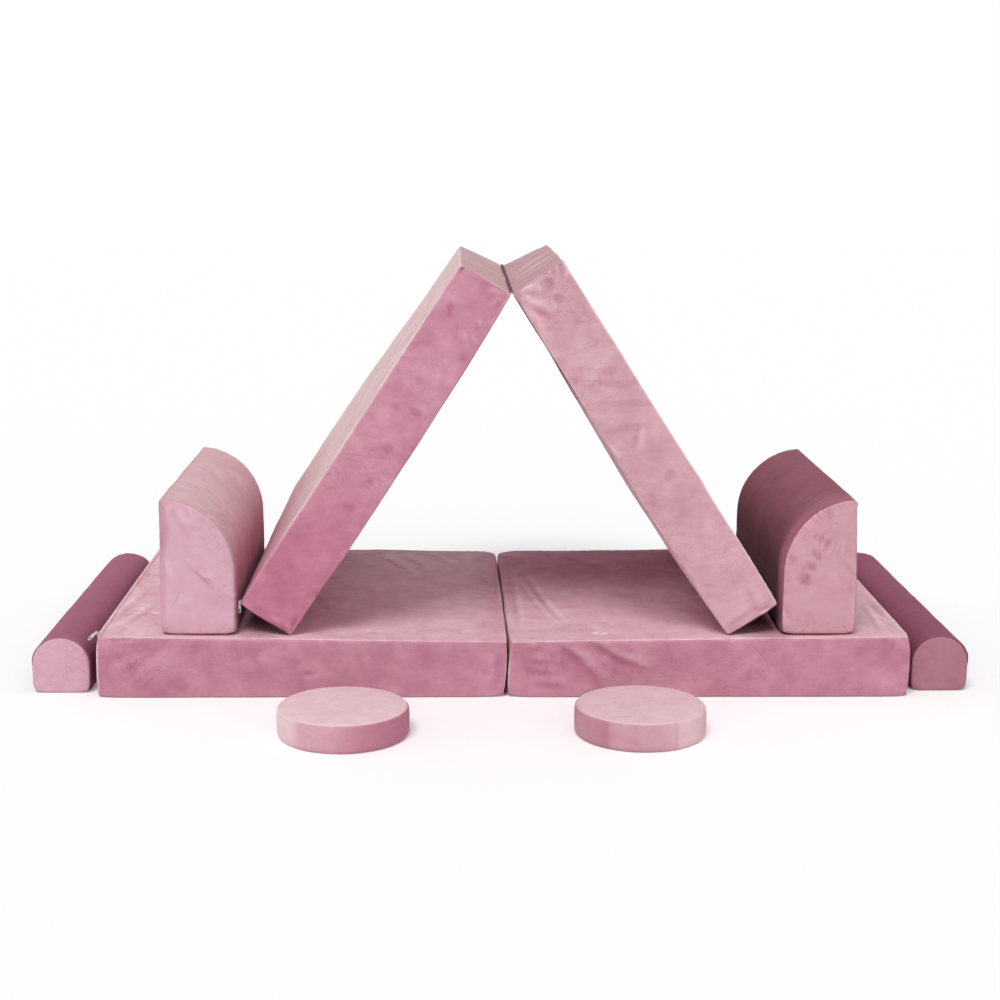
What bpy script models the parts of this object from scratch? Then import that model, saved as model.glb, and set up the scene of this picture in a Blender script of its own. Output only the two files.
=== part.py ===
"""Modular foam play sofa: two folding mats, two quarter-round arm blocks, two bolsters and two round stools.

Metres, +Z up. One mat lies on the floor with its seam along Y, and the other stands on it as a tent. The
whole set is centred over the origin. Every module is a foam core in a zipped cover: a crowned shell with a
slot that the zip fills. The slider straddles the zip's coil, and the pull swings on the slider's bridge.
"""

import math

import bmesh
import bpy
from mathutils import Matrix, Vector

# Clearances and cuts
seat_clearance = 0.0003
foam_clearance = 0.0005
weld_distance = 0.000001
cut_overrun = 0.006
sharp_angle = math.radians(40)

# Covers
cover_wall = 0.0016
crown_power = 4
edge_segments = 2

# Folding mats: sizes of one half, whose origin is on the hinge axis
mat_length = 0.75
mat_depth = 0.75
base_thickness = 0.1155
base_hinge_thickness = 0.106
tent_thickness = 0.110
mat_hinge_gap = 0.0018
mat_edge_radius = 0.005
mat_crown = 0.001
mat_side_crown = 0.002
mat_edge_draw = 0.001
mat_knot_shares = (-0.8, -0.4, 0, 0.4, 0.8)
mat_height_shares = (0,)
mat_zip_end = 0.022
hinge_web_wall = 0.0014
hinge_web_end = 0.012
hinge_web_steps = 8
base_web_angle = math.radians(85)
tent_web_angle = math.radians(115)

# The tent
tent_angle = math.radians(57.3)
tent_setback = 0.020
tent_offset = 0.0095

# Arm blocks
arm_width = 0.137
arm_height = 0.254
arm_depth = 0.588
arm_setback = 0.017
arm_left_gap = 0.0062
arm_right_gap = 0.0060
arm_arc_steps = 7
arm_edge_radius = 0.006
arm_swell = 0.002
arm_zip_height = 0.036
arm_zip_end = 0.030

# Bolsters
bolster_width = 0.1065
bolster_height = 0.105
bolster_rise = 0.052
bolster_length = 0.705
bolster_left_gap = 0.0142
bolster_right_gap = 0.0110
bolster_left_setback = 0.030
bolster_right_setback = 0.038
bolster_yaw = math.radians(0.45)
bolster_arc_steps = 10
bolster_edge_radius = 0.005
bolster_swell = 0.0015
bolster_zip_height = 0.031
bolster_zip_end = 0.030

# Arm blocks and bolsters: stations along the block, and how its end panels stand out
block_knot_shares = (-0.75, 0, 0.75)
end_crown = 0.003
end_crown_share = 0.4

# Stools
stool_radius = 0.1135
stool_height = 0.051
stool_edge_radius = 0.006
stool_crown = 0.003
stool_crown_share = 0.6
stool_side_crown = 0.0012
stool_facets = 30
stool_zip_facets = 11
stool_left_place = (-0.2845, -0.2056)
stool_right_place = (0.2312, -0.2002)

# Zips: a tape with a coil along its middle, and the angle from its normal at which a pull hangs
zip_width = 0.008
zip_coil_width = 0.0040
zip_coil_height = 0.0011
zip_coil_slope = 0.0008
slider_end = 0.008
pull_angle = math.radians(90)

# Sliders: a roof with two flanges over the coil, and a bridge for the pull
slider_length = 0.0095
slider_flange = 0.0010
slider_roof = 0.0008
slider_nose_share = 0.8
slider_waist_share = 0.3
bridge_section = 0.0012
bridge_length = 0.0076
bridge_root = 0.0004

# Pulls: an eye on the bridge, a neck, and a tab with an oval hole
pull_length = 0.0220
pull_width = 0.0052
pull_thickness = 0.0012
pull_eye_radius = 0.0012
pull_eye_wall = 0.0008
pull_neck_width = 0.0030
pull_neck_length = 0.0050
pull_shoulder_length = 0.0070
pull_hole_length = 0.0070
pull_hole_width = 0.0024
pull_tip_wall = 0.0013
pull_round_steps = 8

# Colours
velvet_colour = (0.58, 0.30, 0.38)
foam_colour = (0.88, 0.80, 0.62)
tape_colour = (0.62, 0.36, 0.44)
metal_colour = (0.86, 0.82, 0.82)

# What several pieces share
base_profile = (base_hinge_thickness, base_thickness)
tent_profile = (tent_thickness, tent_thickness)
foam_inset = cover_wall + foam_clearance
slider_channel = zip_coil_width / 2 + seat_clearance
slider_half_width = slider_channel + slider_flange
slider_ceiling = zip_coil_height + seat_clearance
slider_top = slider_ceiling + slider_roof
pull_eye_outside = pull_eye_radius + pull_eye_wall
bridge_height = slider_top + pull_eye_outside + seat_clearance
hinge_web_room = math.hypot(mat_hinge_gap + mat_edge_radius, mat_edge_radius) - mat_edge_radius
hinge_web_radius = hinge_web_room - seat_clearance


def clear_scene():
    for item in list(bpy.data.objects):
        bpy.data.objects.remove(item, do_unlink=True)


def material(name, colour, roughness, metallic=0.0):
    made = bpy.data.materials.new(name)
    made.use_nodes = True
    shader = made.node_tree.nodes["Principled BSDF"]
    shader.inputs["Base Color"].default_value = (*colour, 1.0)
    shader.inputs["Roughness"].default_value = roughness
    shader.inputs["Metallic"].default_value = metallic
    return made


def velvet():
    return material("velvet", velvet_colour, 0.85)


def foam():
    return material("foam", foam_colour, 0.95)


def zip_tape():
    return material("zip_tape", tape_colour, 0.7)


def zip_metal():
    return material("zip_metal", metal_colour, 0.35, 1.0)


def placed(item, parent=None, matrix=None):
    bpy.context.scene.collection.objects.link(item)
    item.parent = parent
    item.matrix_local = matrix or Matrix()
    return item


def empty(name, parent=None, matrix=None):
    return placed(bpy.data.objects.new(name, None), parent, matrix)


def finished_mesh(name, shape, look=None):
    """A mesh from a bmesh, facing out, with smooth shading between its sharp edges."""
    bmesh.ops.recalc_face_normals(shape, faces=shape.faces)
    mesh = bpy.data.meshes.new(name)
    shape.to_mesh(mesh)
    shape.free()
    mesh.shade_smooth()
    mesh.set_sharp_from_angle(angle=sharp_angle)
    if look:
        mesh.materials.append(look)
    return mesh


def worked_mesh(item, look):
    """The mesh that an object's modifiers or bevel make, with its doubled points welded."""
    name = item.name
    graph = bpy.context.evaluated_depsgraph_get()
    shape = bmesh.new()
    shape.from_mesh(bpy.data.meshes.new_from_object(item.evaluated_get(graph)))
    bmesh.ops.remove_doubles(shape, verts=shape.verts, dist=weld_distance)
    bpy.data.objects.remove(item, do_unlink=True)
    return finished_mesh(name, shape, look)


def lofted(rings, crown=None):
    """A closed body through rings of points. With a crown, its two end panels stand out along Y."""
    shape = bmesh.new()
    loops = [[shape.verts.new(point) for point in ring] for ring in rings]
    if crown:
        loops.insert(0, raised_panel(shape, loops[0], -crown))
        loops.append(raised_panel(shape, loops[-1], crown))
    for loop, following in zip(loops, loops[1:]):
        for n, vert in enumerate(loop):
            after = (n + 1) % len(loop)
            shape.faces.new((vert, loop[after], following[after], following[n]))
    shape.faces.new(loops[0])
    shape.faces.new(loops[-1])
    return shape


def raised_panel(shape, ring, rise):
    """The ring drawn in towards its middle and lifted along Y, where an end panel is fullest."""
    middle = sum((vert.co for vert in ring), Vector()) / len(ring)
    lift = Vector((0, rise, 0))
    return [shape.verts.new(vert.co.lerp(middle, end_crown_share) + lift) for vert in ring]


def rounded(item, radius, segments):
    bevel = item.modifiers.new("rounded_seams", "BEVEL")
    bevel.width = radius
    bevel.segments = segments
    bevel.limit_method = "ANGLE"
    bevel.angle_limit = sharp_angle


def hollowed(item):
    shell = item.modifiers.new("cover_wall", "SOLIDIFY")
    shell.thickness = cover_wall
    shell.offset = -1
    shell.use_even_offset = True


def combined(item, other, operation):
    """Cuts another object from this one, or joins it on, and leaves that one out as a guide."""
    other.hide_render = True
    other.display_type = "WIRE"
    change = item.modifiers.new(other.name, "BOOLEAN")
    change.operation = operation
    change.solver = "EXACT"
    change.object = other


def bulge(share):
    """How full a panel stands at a share of its half length: 1 in the middle and 0 at its seams."""
    return 1 - abs(share) ** crown_power


def mat_move(u, v, w):
    """How far a point of the mat moves as its panels stand out and its side seams draw in.

    The underside and the hinge end stay flat, and the zip keeps its own seam straight.
    """
    move = Vector()
    if w == 1:
        move.z = bulge(u) * (mat_crown * bulge(v) - mat_edge_draw * (1 - bulge(v)))
    if abs(v) == 1:
        move.y = v * bulge(u) * (mat_side_crown * bulge(w) - mat_edge_draw * (1 - bulge(w)))
    if u == 1:
        move.x = mat_side_crown * bulge(v) * bulge(w)
    return move


def mat_taper(thickness):
    """The slope of a mat's top, from its thickness at the hinge and at its far end."""
    return (thickness[1] - thickness[0]) / (mat_length - mat_hinge_gap)


def mat_top_at(thickness, distance):
    """The height of a mat's crowned top at a distance from its hinge."""
    return thickness[0] + mat_taper(thickness) * (distance - mat_hinge_gap) + mat_crown


def mat_block(name, thickness, inset=0.0):
    """Half a folding mat: the hinge axis at its origin, +X along its length and +Z up from its underside."""
    low = Vector((mat_hinge_gap + inset, inset - mat_depth / 2, inset))
    high = Vector((mat_length - inset, mat_depth / 2 - inset, thickness[0] - inset))
    middle = (low + high) / 2
    half = (high - low) / 2
    shape = bmesh.new()
    bmesh.ops.create_cube(shape, size=2)
    for axis, shares in enumerate((mat_knot_shares, mat_knot_shares, mat_height_shares)):
        normal = Vector([float(axis == n) for n in range(3)])
        for share in shares:
            whole = shape.verts[:] + shape.edges[:] + shape.faces[:]
            bmesh.ops.bisect_plane(shape, geom=whole, plane_co=normal * share, plane_no=normal)
    underside = [face for face in shape.faces if all(vert.co.z == -1 for vert in face.verts)]
    bmesh.ops.dissolve_faces(shape, faces=underside, use_verts=False)
    for vert in shape.verts:
        share = vert.co.copy()
        vert.co = middle + share * half + mat_move(*share)
        vert.co.z += (thickness[1] - thickness[0]) * (share.x + 1) / 2 * (share.z + 1) / 2
    return finished_mesh(name, shape)


def arm_outline(inset, swell):
    """An arm's section: a flat back at x = 0, a flat foot, and a quarter circle over its inner side."""
    radius = arm_width - inset
    rise = radius + swell
    spring = arm_height - arm_width
    start = math.acos(inset / radius)
    arc = [start * (1 - step / arm_arc_steps) for step in range(arm_arc_steps + 1)]
    points = [(radius * math.cos(angle), spring + rise * math.sin(angle)) for angle in arc]
    return [(inset, inset), *points, (radius, inset)]


def bolster_outline(inset, swell):
    """A bolster's section: a flat foot and two short upright sides under a half-round top."""
    half = bolster_width / 2 - inset
    spring = bolster_height - bolster_rise
    rise = bolster_rise - inset + swell
    arc = [math.pi * (1 - step / bolster_arc_steps) for step in range(bolster_arc_steps + 1)]
    points = [(half * math.cos(angle), spring + rise * math.sin(angle)) for angle in arc]
    return [(-half, inset), *points, (half, inset)]


def long_block(name, outline, length, swell, inset=0.0):
    """A block with this section along Y, fuller at its middle, with crowned end panels."""
    half = length / 2 - inset
    rings = []
    for share in (-1, *block_knot_shares, 1):
        points = outline(inset, swell * bulge(share))
        rings.append([Vector((x, half * share, z)) for x, z in points])
    return finished_mesh(name, lofted(rings, end_crown))


def stool_outline(inset):
    """A stool's turned profile from the middle of its foot, round its side, to the middle of its top."""
    corner = stool_edge_radius - inset
    edge = stool_radius - stool_edge_radius
    slant = corner * math.sqrt(0.5)
    low, high = stool_edge_radius, stool_height - stool_edge_radius
    shoulder = edge * stool_crown_share
    crown = stool_height - inset + stool_crown
    return [
        (0, inset),
        (edge, low - corner),
        (edge + slant, low - slant),
        (edge + corner, low),
        (edge + corner + stool_side_crown, stool_height / 2),
        (edge + corner, high),
        (edge + slant, high + slant),
        (edge, high + corner),
        (shoulder, stool_height - inset + stool_crown * bulge(stool_crown_share)),
        (0, crown),
    ]


def stool_facet_angle():
    return 2 * math.pi / stool_facets


def stool_zip_start():
    """The angle at which the zip starts, so that its middle is at the back of the stool."""
    return math.pi / 2 - stool_zip_facets * stool_facet_angle() / 2


def stool_block(name, inset=0.0):
    """A stool turned about Z, with a facet's edge where the zip starts."""
    shape = bmesh.new()
    points = [shape.verts.new((x, 0, z)) for x, z in stool_outline(inset)]
    for first, second in zip(points, points[1:]):
        shape.edges.new((first, second))
    turn = Matrix.Rotation(stool_zip_start(), 4, "Z")
    bmesh.ops.transform(shape, matrix=turn, verts=shape.verts)
    whole = shape.verts[:] + shape.edges[:]
    bmesh.ops.spin(shape, geom=whole, axis=(0, 0, 1), angle=2 * math.pi, steps=stool_facets)
    bmesh.ops.remove_doubles(shape, verts=shape.verts, dist=weld_distance)
    return finished_mesh(name, shape)


def zip_section(corner_radius=None):
    """A zip's section across its tape: the coil's ridge on top, bent over a corner where one is given."""
    half, coil = zip_width / 2, zip_coil_width / 2
    ridge = coil - zip_coil_slope
    crest = [(-ridge, zip_coil_height), (ridge, zip_coil_height)]
    outside = [(-half, 0), (-coil, 0), *crest, (coil, 0), (half, 0)]
    inside = [(half, -cover_wall), (coil, -cover_wall), (-coil, -cover_wall), (-half, -cover_wall)]
    if corner_radius is None:
        return outside + inside
    bent = [math.sqrt(corner_radius**2 - x**2) - corner_radius for x, _ in outside + inside]
    return [(x, z + drop) for (x, z), drop in zip(outside + inside, bent)]


def straight_zip(name, half_length, look, corner_radius=None):
    section = zip_section(corner_radius)
    rings = [[Vector((x, y, z)) for x, z in section] for y in (-half_length, half_length)]
    return finished_mesh(name, lofted(rings), look)


def round_zip(name, look):
    """A zip round the back of a stool, with a facet to each of the stool's own."""
    section = zip_section()
    outside = stool_radius + stool_side_crown
    margin = seat_clearance / outside
    span = stool_zip_facets * stool_facet_angle() - 2 * margin
    rings = []
    for step in range(stool_zip_facets + 1):
        turn = Matrix.Rotation(stool_zip_start() + margin + span * step / stool_zip_facets, 3, "Z")
        rings.append([turn @ Vector((outside + z, 0, stool_height / 2 - x)) for x, z in section])
    return finished_mesh(name, lofted(rings), look)


def slot_cutter(name, parent, frame, half_length):
    """A box for a straight zip's slot, in the frame of the zip."""
    wide = zip_width / 2 + seat_clearance
    long = half_length + seat_clearance
    deep = cover_wall + cut_overrun
    box = [(-wide, -deep), (wide, -deep), (wide, cut_overrun), (-wide, cut_overrun)]
    rings = [[Vector((x, y, z)) for x, z in box] for y in (-long, long)]
    return placed(bpy.data.objects.new(name, finished_mesh(name, lofted(rings))), parent, frame)


def round_slot_cutter(name, parent):
    """A band for the slot round the back of a stool."""
    wide = zip_width / 2 + seat_clearance
    inside = stool_radius - cover_wall - cut_overrun
    outside = stool_radius + cut_overrun
    middle = stool_height / 2
    low, high = middle - wide, middle + wide
    band = [(inside, low), (outside, low), (outside, high), (inside, high)]
    rings = []
    for step in range(stool_zip_facets + 1):
        turn = Matrix.Rotation(stool_zip_start() + step * stool_facet_angle(), 3, "Z")
        rings.append([turn @ Vector((x, 0, z)) for x, z in band])
    return placed(bpy.data.objects.new(name, finished_mesh(name, lofted(rings))), parent)


def slider_mesh(look):
    """A slider over a zip along Y, with its origin on the tape. Its nose is narrower than its waist."""
    half = slider_length / 2
    rings = []
    for share, width in ((-1, slider_nose_share), (slider_waist_share, 1), (1, 1)):
        wide = slider_half_width * width
        outline = [
            (-wide, seat_clearance),
            (-wide, slider_top),
            (wide, slider_top),
            (wide, seat_clearance),
            (slider_channel, seat_clearance),
            (slider_channel, slider_ceiling),
            (-slider_channel, slider_ceiling),
            (-slider_channel, seat_clearance),
        ]
        rings.append([Vector((x, half * share, z)) for x, z in outline])
    body = placed(bpy.data.objects.new("slider", finished_mesh("slider_body", lofted(rings))))
    bridge = placed(bpy.data.objects.new("bridge", finished_mesh("bridge", lofted(bridge_rings()))))
    combined(body, bridge, "UNION")
    mesh = worked_mesh(body, look)
    bpy.data.objects.remove(bridge, do_unlink=True)
    return mesh


def bridge_rings():
    """The bridge on a slider's roof: two posts and the bar that the pull's eye goes round."""
    far = bridge_length / 2
    near = far - bridge_section
    root = slider_top - bridge_root
    under = bridge_height - bridge_section / 2
    over = bridge_height + bridge_section / 2
    outside = [(-far, root), (-far, over), (far, over), (far, root)]
    inside = [(near, root), (near, under), (-near, under), (-near, root)]
    side = bridge_section / 2
    return [[Vector((x, y, z)) for y, z in outside + inside] for x in (-side, side)]


def arc_points(centre_x, radius, start, end):
    """Points along an arc about (centre_x, 0)."""
    turns = [start + (end - start) * step / pull_round_steps for step in range(pull_round_steps + 1)]
    return [(centre_x + radius * math.cos(turn), radius * math.sin(turn)) for turn in turns]


def pull_outlines():
    """The outlines of a pull, along +X from the middle of its eye: its edge, its eye and its oval hole."""
    half, neck = pull_width / 2, pull_neck_width / 2
    join = math.asin(neck / pull_eye_outside)
    quarter = math.pi / 2
    eye_end = arc_points(0, pull_eye_outside, join, 2 * math.pi - join)
    tip = arc_points(pull_length - half, half, -quarter, quarter)
    left = [(pull_neck_length, -neck), (pull_shoulder_length, -half)]
    right = [(pull_shoulder_length, half), (pull_neck_length, neck)]
    hole_round = pull_hole_width / 2
    hole_far = pull_length - pull_tip_wall - hole_round
    hole_near = hole_far - pull_hole_length + pull_hole_width
    hole = arc_points(hole_far, hole_round, -quarter, quarter)
    hole += arc_points(hole_near, hole_round, quarter, 3 * quarter)
    eye = arc_points(0, pull_eye_radius, 0, 2 * math.pi)[:-1]
    return [eye_end + left + tip + right, eye, hole]


def pull_mesh(look):
    """A flat pull in its own XY plane, cut from one outline with two holes."""
    sheet = bpy.data.curves.new("pull", "CURVE")
    sheet.dimensions = "2D"
    sheet.fill_mode = "BOTH"
    sheet.extrude = pull_thickness / 2
    for outline in pull_outlines():
        spline = sheet.splines.new("POLY")
        spline.points.add(len(outline) - 1)
        for point, (x, y) in zip(spline.points, outline):
            point.co = (x, y, 0, 1)
        spline.use_cyclic_u = True
    return worked_mesh(placed(bpy.data.objects.new("pull", sheet)), look)


def hinge_web(name, parent, half_angle, look):
    """The folded strip of fabric that joins two halves, an open tube about the hinge axis."""
    inside = hinge_web_radius - hinge_web_wall
    steps = range(hinge_web_steps + 1)
    turns = [half_angle * (2 * step / hinge_web_steps - 1) for step in steps]
    outline = [(hinge_web_radius * math.sin(turn), hinge_web_radius * math.cos(turn)) for turn in turns]
    outline += [(inside * math.sin(turn), inside * math.cos(turn)) for turn in reversed(turns)]
    half = mat_depth / 2 - hinge_web_end
    rings = [[Vector((x, y, z)) for x, z in outline] for y in (-half, half)]
    return placed(bpy.data.objects.new(name, finished_mesh(name, lofted(rings), look)), parent)


def frame_of(place, travel, normal):
    """A zip's frame: Y along the slider's travel, Z out of the cover, and X the way that a pull hangs."""
    columns = Matrix((travel.cross(normal), travel, normal)).transposed()
    return Matrix.Translation(place) @ columns.to_4x4()


class Kit:
    """The materials and the meshes that every module shares."""

    def __init__(self):
        self.velvet = velvet()
        self.foam = foam()
        self.tape = zip_tape()
        self.slider = slider_mesh(zip_metal())
        self.pull = pull_mesh(bpy.data.materials["zip_metal"])


def cover_and_core(name, module, cover_mesh, core_mesh, cutter, radius, kit):
    """A cover with its zip slot, and the foam core inside it, whose edges are plain chamfers."""
    cover = placed(bpy.data.objects.new(f"{name}_cover", cover_mesh), module)
    cover_mesh.materials.append(kit.velvet)
    core = placed(bpy.data.objects.new(f"{name}_foam", core_mesh), module)
    core_mesh.materials.append(kit.foam)
    if radius:
        rounded(cover, radius, edge_segments)
        rounded(core, radius - cover_wall, 1)
    hollowed(cover)
    combined(cover, cutter, "DIFFERENCE")


def slider_and_pull(name, module, frame, pull_angle, kit):
    """The slider in its zip's frame, and the pull on its bridge at an angle from the zip's normal."""
    slider = placed(bpy.data.objects.new(f"{name}_zip_slider", kit.slider), module, frame)
    along = Vector((math.sin(pull_angle), 0, math.cos(pull_angle)))
    across = Vector((0, 1, 0))
    turn = Matrix((along, across.cross(along), across)).transposed().to_4x4()
    hung = Matrix.Translation((0, 0, bridge_height)) @ turn
    placed(bpy.data.objects.new(f"{name}_zip_pull", kit.pull), slider, hung)


def mat_zip_tilt(thickness):
    """The angle above the mat's length at which its far top seam faces."""
    return (math.pi / 2 + math.atan(mat_taper(thickness))) / 2


def mat_half(name, parent, matrix, thickness, pull_angle, kit):
    """Half a folding mat. Its zip lies over the top seam of its far end."""
    module = empty(name, parent, matrix)
    tilt = mat_zip_tilt(thickness)
    normal = Vector((math.cos(tilt), 0, math.sin(tilt)))
    corner = Vector((mat_length, 0, thickness[1]))
    crest = corner - normal * mat_edge_radius * (1 / math.cos(tilt) - 1)
    frame = frame_of(crest, Vector((0, 1, 0)), normal)
    half_length = mat_depth / 2 - mat_zip_end
    cutter = slot_cutter(f"{name}_slot", module, frame, half_length)
    cover = mat_block(f"{name}_cover", thickness)
    core = mat_block(f"{name}_foam", thickness, foam_inset)
    cover_and_core(name, module, cover, core, cutter, mat_edge_radius, kit)
    tape = straight_zip(f"{name}_zip", half_length, kit.tape, mat_edge_radius)
    placed(bpy.data.objects.new(f"{name}_zip", tape), module, frame)
    seat = frame @ Matrix.Translation((0, half_length - slider_end, 0))
    slider_and_pull(name, module, seat, pull_angle, kit)
    return module


def long_module(name, parent, matrix, shapes, radius, frame, half_length, kit):
    """An arm block or a bolster, with a straight zip along its back."""
    module = empty(name, parent, matrix)
    cutter = slot_cutter(f"{name}_slot", module, frame, half_length)
    cover_and_core(name, module, *shapes, cutter, radius, kit)
    tape = straight_zip(f"{name}_zip", half_length, kit.tape)
    placed(bpy.data.objects.new(f"{name}_zip", tape), module, frame)
    seat = frame @ Matrix.Translation((0, slider_end - half_length, 0))
    slider_and_pull(name, module, seat, pull_angle, kit)


def arm(name, parent, matrix, kit):
    shapes = (
        long_block(f"{name}_cover", arm_outline, arm_depth, arm_swell),
        long_block(f"{name}_foam", arm_outline, arm_depth, arm_swell, foam_inset),
    )
    frame = frame_of(Vector((0, 0, arm_zip_height)), Vector((0, -1, 0)), Vector((-1, 0, 0)))
    long_module(name, parent, matrix, shapes, arm_edge_radius, frame, arm_depth / 2 - arm_zip_end, kit)


def bolster(name, parent, matrix, kit):
    shapes = (
        long_block(f"{name}_cover", bolster_outline, bolster_length, bolster_swell),
        long_block(f"{name}_foam", bolster_outline, bolster_length, bolster_swell, foam_inset),
    )
    place = Vector((-bolster_width / 2, 0, bolster_zip_height))
    frame = frame_of(place, Vector((0, -1, 0)), Vector((-1, 0, 0)))
    half_length = bolster_length / 2 - bolster_zip_end
    long_module(name, parent, matrix, shapes, bolster_edge_radius, frame, half_length, kit)


def stool(name, parent, place, kit):
    """A round stool. Its zip runs round the back of its side."""
    module = empty(name, parent, Matrix.Translation((*place, 0)))
    cutter = round_slot_cutter(f"{name}_slot", module)
    cover, core = stool_block(f"{name}_cover"), stool_block(f"{name}_foam", foam_inset)
    cover_and_core(name, module, cover, core, cutter, 0, kit)
    placed(bpy.data.objects.new(f"{name}_zip", round_zip(f"{name}_zip", kit.tape)), module)
    outside = stool_radius + stool_side_crown
    angle = stool_zip_start() + slider_end / outside
    normal = Vector((math.cos(angle), math.sin(angle), 0))
    travel = Vector((-math.sin(angle), math.cos(angle), 0))
    middle = Vector((0, 0, stool_height / 2))
    slider_and_pull(name, module, frame_of(middle + normal * outside, travel, normal), pull_angle, kit)


def half_turn():
    return Matrix.Rotation(math.pi, 4, "Z")


def base_mat(sofa, kit):
    """The mat on the floor, its halves about the hinge at their undersides."""
    seam = Matrix.Translation((0, mat_depth / 2, 0))
    left = mat_half("base_left", sofa, seam @ half_turn(), base_profile, pull_angle, kit)
    hinge_web("base_fabric_hinge", left, base_web_angle, kit.velvet)
    mat_half("base_right", sofa, seam, base_profile, pull_angle, kit)


def tent_mat(sofa, kit):
    """The other mat, folded to a tent: its ridge is the hinge, and its feet stand on the mat below."""
    foot_reach = mat_length * math.cos(tent_angle) + tent_offset
    foot = mat_top_at(base_profile, foot_reach) + seat_clearance
    leg = (mat_length - mat_edge_radius) * math.sin(tent_angle)
    ridge_height = foot + leg + mat_edge_radius * (1 - math.cos(tent_angle))
    place = (tent_offset, tent_setback + mat_depth / 2, ridge_height)
    ridge = empty("tent_ridge", sofa, Matrix.Translation(place))
    hinge_web("tent_fabric_hinge", ridge, tent_web_angle, kit.velvet)
    lean = Matrix.Rotation(tent_angle, 4, "Y")
    hang = math.pi / 2 + mat_zip_tilt(tent_profile) - tent_angle
    mat_half("tent_right", ridge, lean, tent_profile, hang, kit)
    mat_half("tent_left", ridge, half_turn() @ lean, tent_profile, hang, kit)


def arms(sofa, kit):
    """The arm blocks on the mat, each beside a foot of the tent."""
    middle = arm_setback + arm_depth / 2
    foot_reach = mat_length * math.cos(tent_angle) + tent_thickness * math.sin(tent_angle)
    left_x = tent_offset - foot_reach - arm_left_gap - arm_width
    right_x = tent_offset + foot_reach + arm_right_gap + arm_width
    seat = mat_top_at(base_profile, max(-left_x, right_x)) + seat_clearance
    left = Matrix.Translation((left_x, middle, seat))
    right = Matrix.Translation((right_x, middle, seat))
    arm("arm_left", sofa, left, kit)
    arm("arm_right", sofa, right @ half_turn(), kit)


def bolsters(sofa, kit):
    left_x = -(mat_length + bolster_left_gap + bolster_width / 2)
    right_x = mat_length + bolster_right_gap + bolster_width / 2
    left = Matrix.Translation((left_x, bolster_left_setback + bolster_length / 2, 0))
    right = Matrix.Translation((right_x, bolster_right_setback + bolster_length / 2, 0))
    bolster("bolster_left", sofa, left @ Matrix.Rotation(-bolster_yaw, 4, "Z"), kit)
    bolster("bolster_right", sofa, right @ Matrix.Rotation(bolster_yaw, 4, "Z") @ half_turn(), kit)


def centre_over_origin(sofa):
    """Moves the whole set so that the middle of its box is over the origin."""
    bpy.context.view_layer.update()
    graph = bpy.context.evaluated_depsgraph_get()
    corners = []
    for item in bpy.context.scene.objects:
        if item.type == "MESH" and not item.hide_render:
            seen = item.evaluated_get(graph)
            corners += [seen.matrix_world @ vert.co for vert in seen.data.vertices]
    for axis in range(2):
        places = [corner[axis] for corner in corners]
        sofa.location[axis] = -(min(places) + max(places)) / 2


def main():
    clear_scene()
    kit = Kit()
    sofa = empty("sofa")
    base_mat(sofa, kit)
    tent_mat(sofa, kit)
    arms(sofa, kit)
    bolsters(sofa, kit)
    stool("stool_left", sofa, stool_left_place, kit)
    stool("stool_right", sofa, stool_right_place, kit)
    centre_over_origin(sofa)


main()
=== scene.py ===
import math

import bpy
import numpy as np
from mathutils import Matrix, Vector


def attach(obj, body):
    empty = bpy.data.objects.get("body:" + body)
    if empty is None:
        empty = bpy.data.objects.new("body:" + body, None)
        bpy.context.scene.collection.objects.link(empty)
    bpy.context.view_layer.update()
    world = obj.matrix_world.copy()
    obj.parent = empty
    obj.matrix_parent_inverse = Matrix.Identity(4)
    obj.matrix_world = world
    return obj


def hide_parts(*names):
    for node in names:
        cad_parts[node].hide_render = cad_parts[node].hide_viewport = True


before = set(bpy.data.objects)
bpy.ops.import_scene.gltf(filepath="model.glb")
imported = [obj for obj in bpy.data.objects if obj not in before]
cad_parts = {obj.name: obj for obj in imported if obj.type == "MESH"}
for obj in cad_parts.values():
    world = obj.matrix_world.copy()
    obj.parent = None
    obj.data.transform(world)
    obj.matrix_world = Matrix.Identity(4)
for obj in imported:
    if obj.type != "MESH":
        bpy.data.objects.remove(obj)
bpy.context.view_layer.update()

# The camera, from the photograph: focal length in pixels of a 1000 pixel image, place and angles
LENS_PX = 1827.77
IMAGE_PX = 1000
SENSOR = 36.0
CAM_PLACE = Vector((-0.09024, -3.467414, 1.01709))
CAM_YAW, CAM_PITCH, CAM_ROLL = 0.0244021, 0.1964733, 0.0061859

# The sofa's own origin in the frame, and the sizes that its covers share with the solids
ORIGIN = np.array((-0.00087, -0.226164, 0.0))
MAT_LENGTH, MAT_DEPTH, MAT_GAP = 0.75, 0.75, 0.0018
BASE_THICK, BASE_HINGE_THICK, TENT_THICK = 0.1155, 0.106, 0.110
MAT_RADIUS = 0.005
TENT_ANGLE, TENT_SETBACK, TENT_OFFSET = math.radians(57.3), 0.020, 0.0095
TENT_RISE = 0.741767
ARM_WIDTH, ARM_HEIGHT, ARM_DEPTH, ARM_SETBACK = 0.137, 0.254, 0.588, 0.017
ARM_LEFT_X, ARM_RIGHT_X, ARM_Z = -0.631446, 0.650246, 0.115533
BOLSTER_WIDTH, BOLSTER_HEIGHT, BOLSTER_RISE, BOLSTER_LENGTH = 0.1065, 0.105, 0.052, 0.705
BOLSTER_LEFT, BOLSTER_RIGHT = (-0.81745, 0.3825), (0.81425, 0.3905)
BOLSTER_YAW = math.radians(0.45)
ARM_RADIUS, BOLSTER_RADIUS = 0.0055, 0.005
STOOL_RADIUS, STOOL_HEIGHT = 0.1135, 0.051
STOOL_LEFT, STOOL_RIGHT = (-0.2845, -0.2056), (0.2312, -0.2002)
STOOL_BULGE = 0.0012

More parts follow.
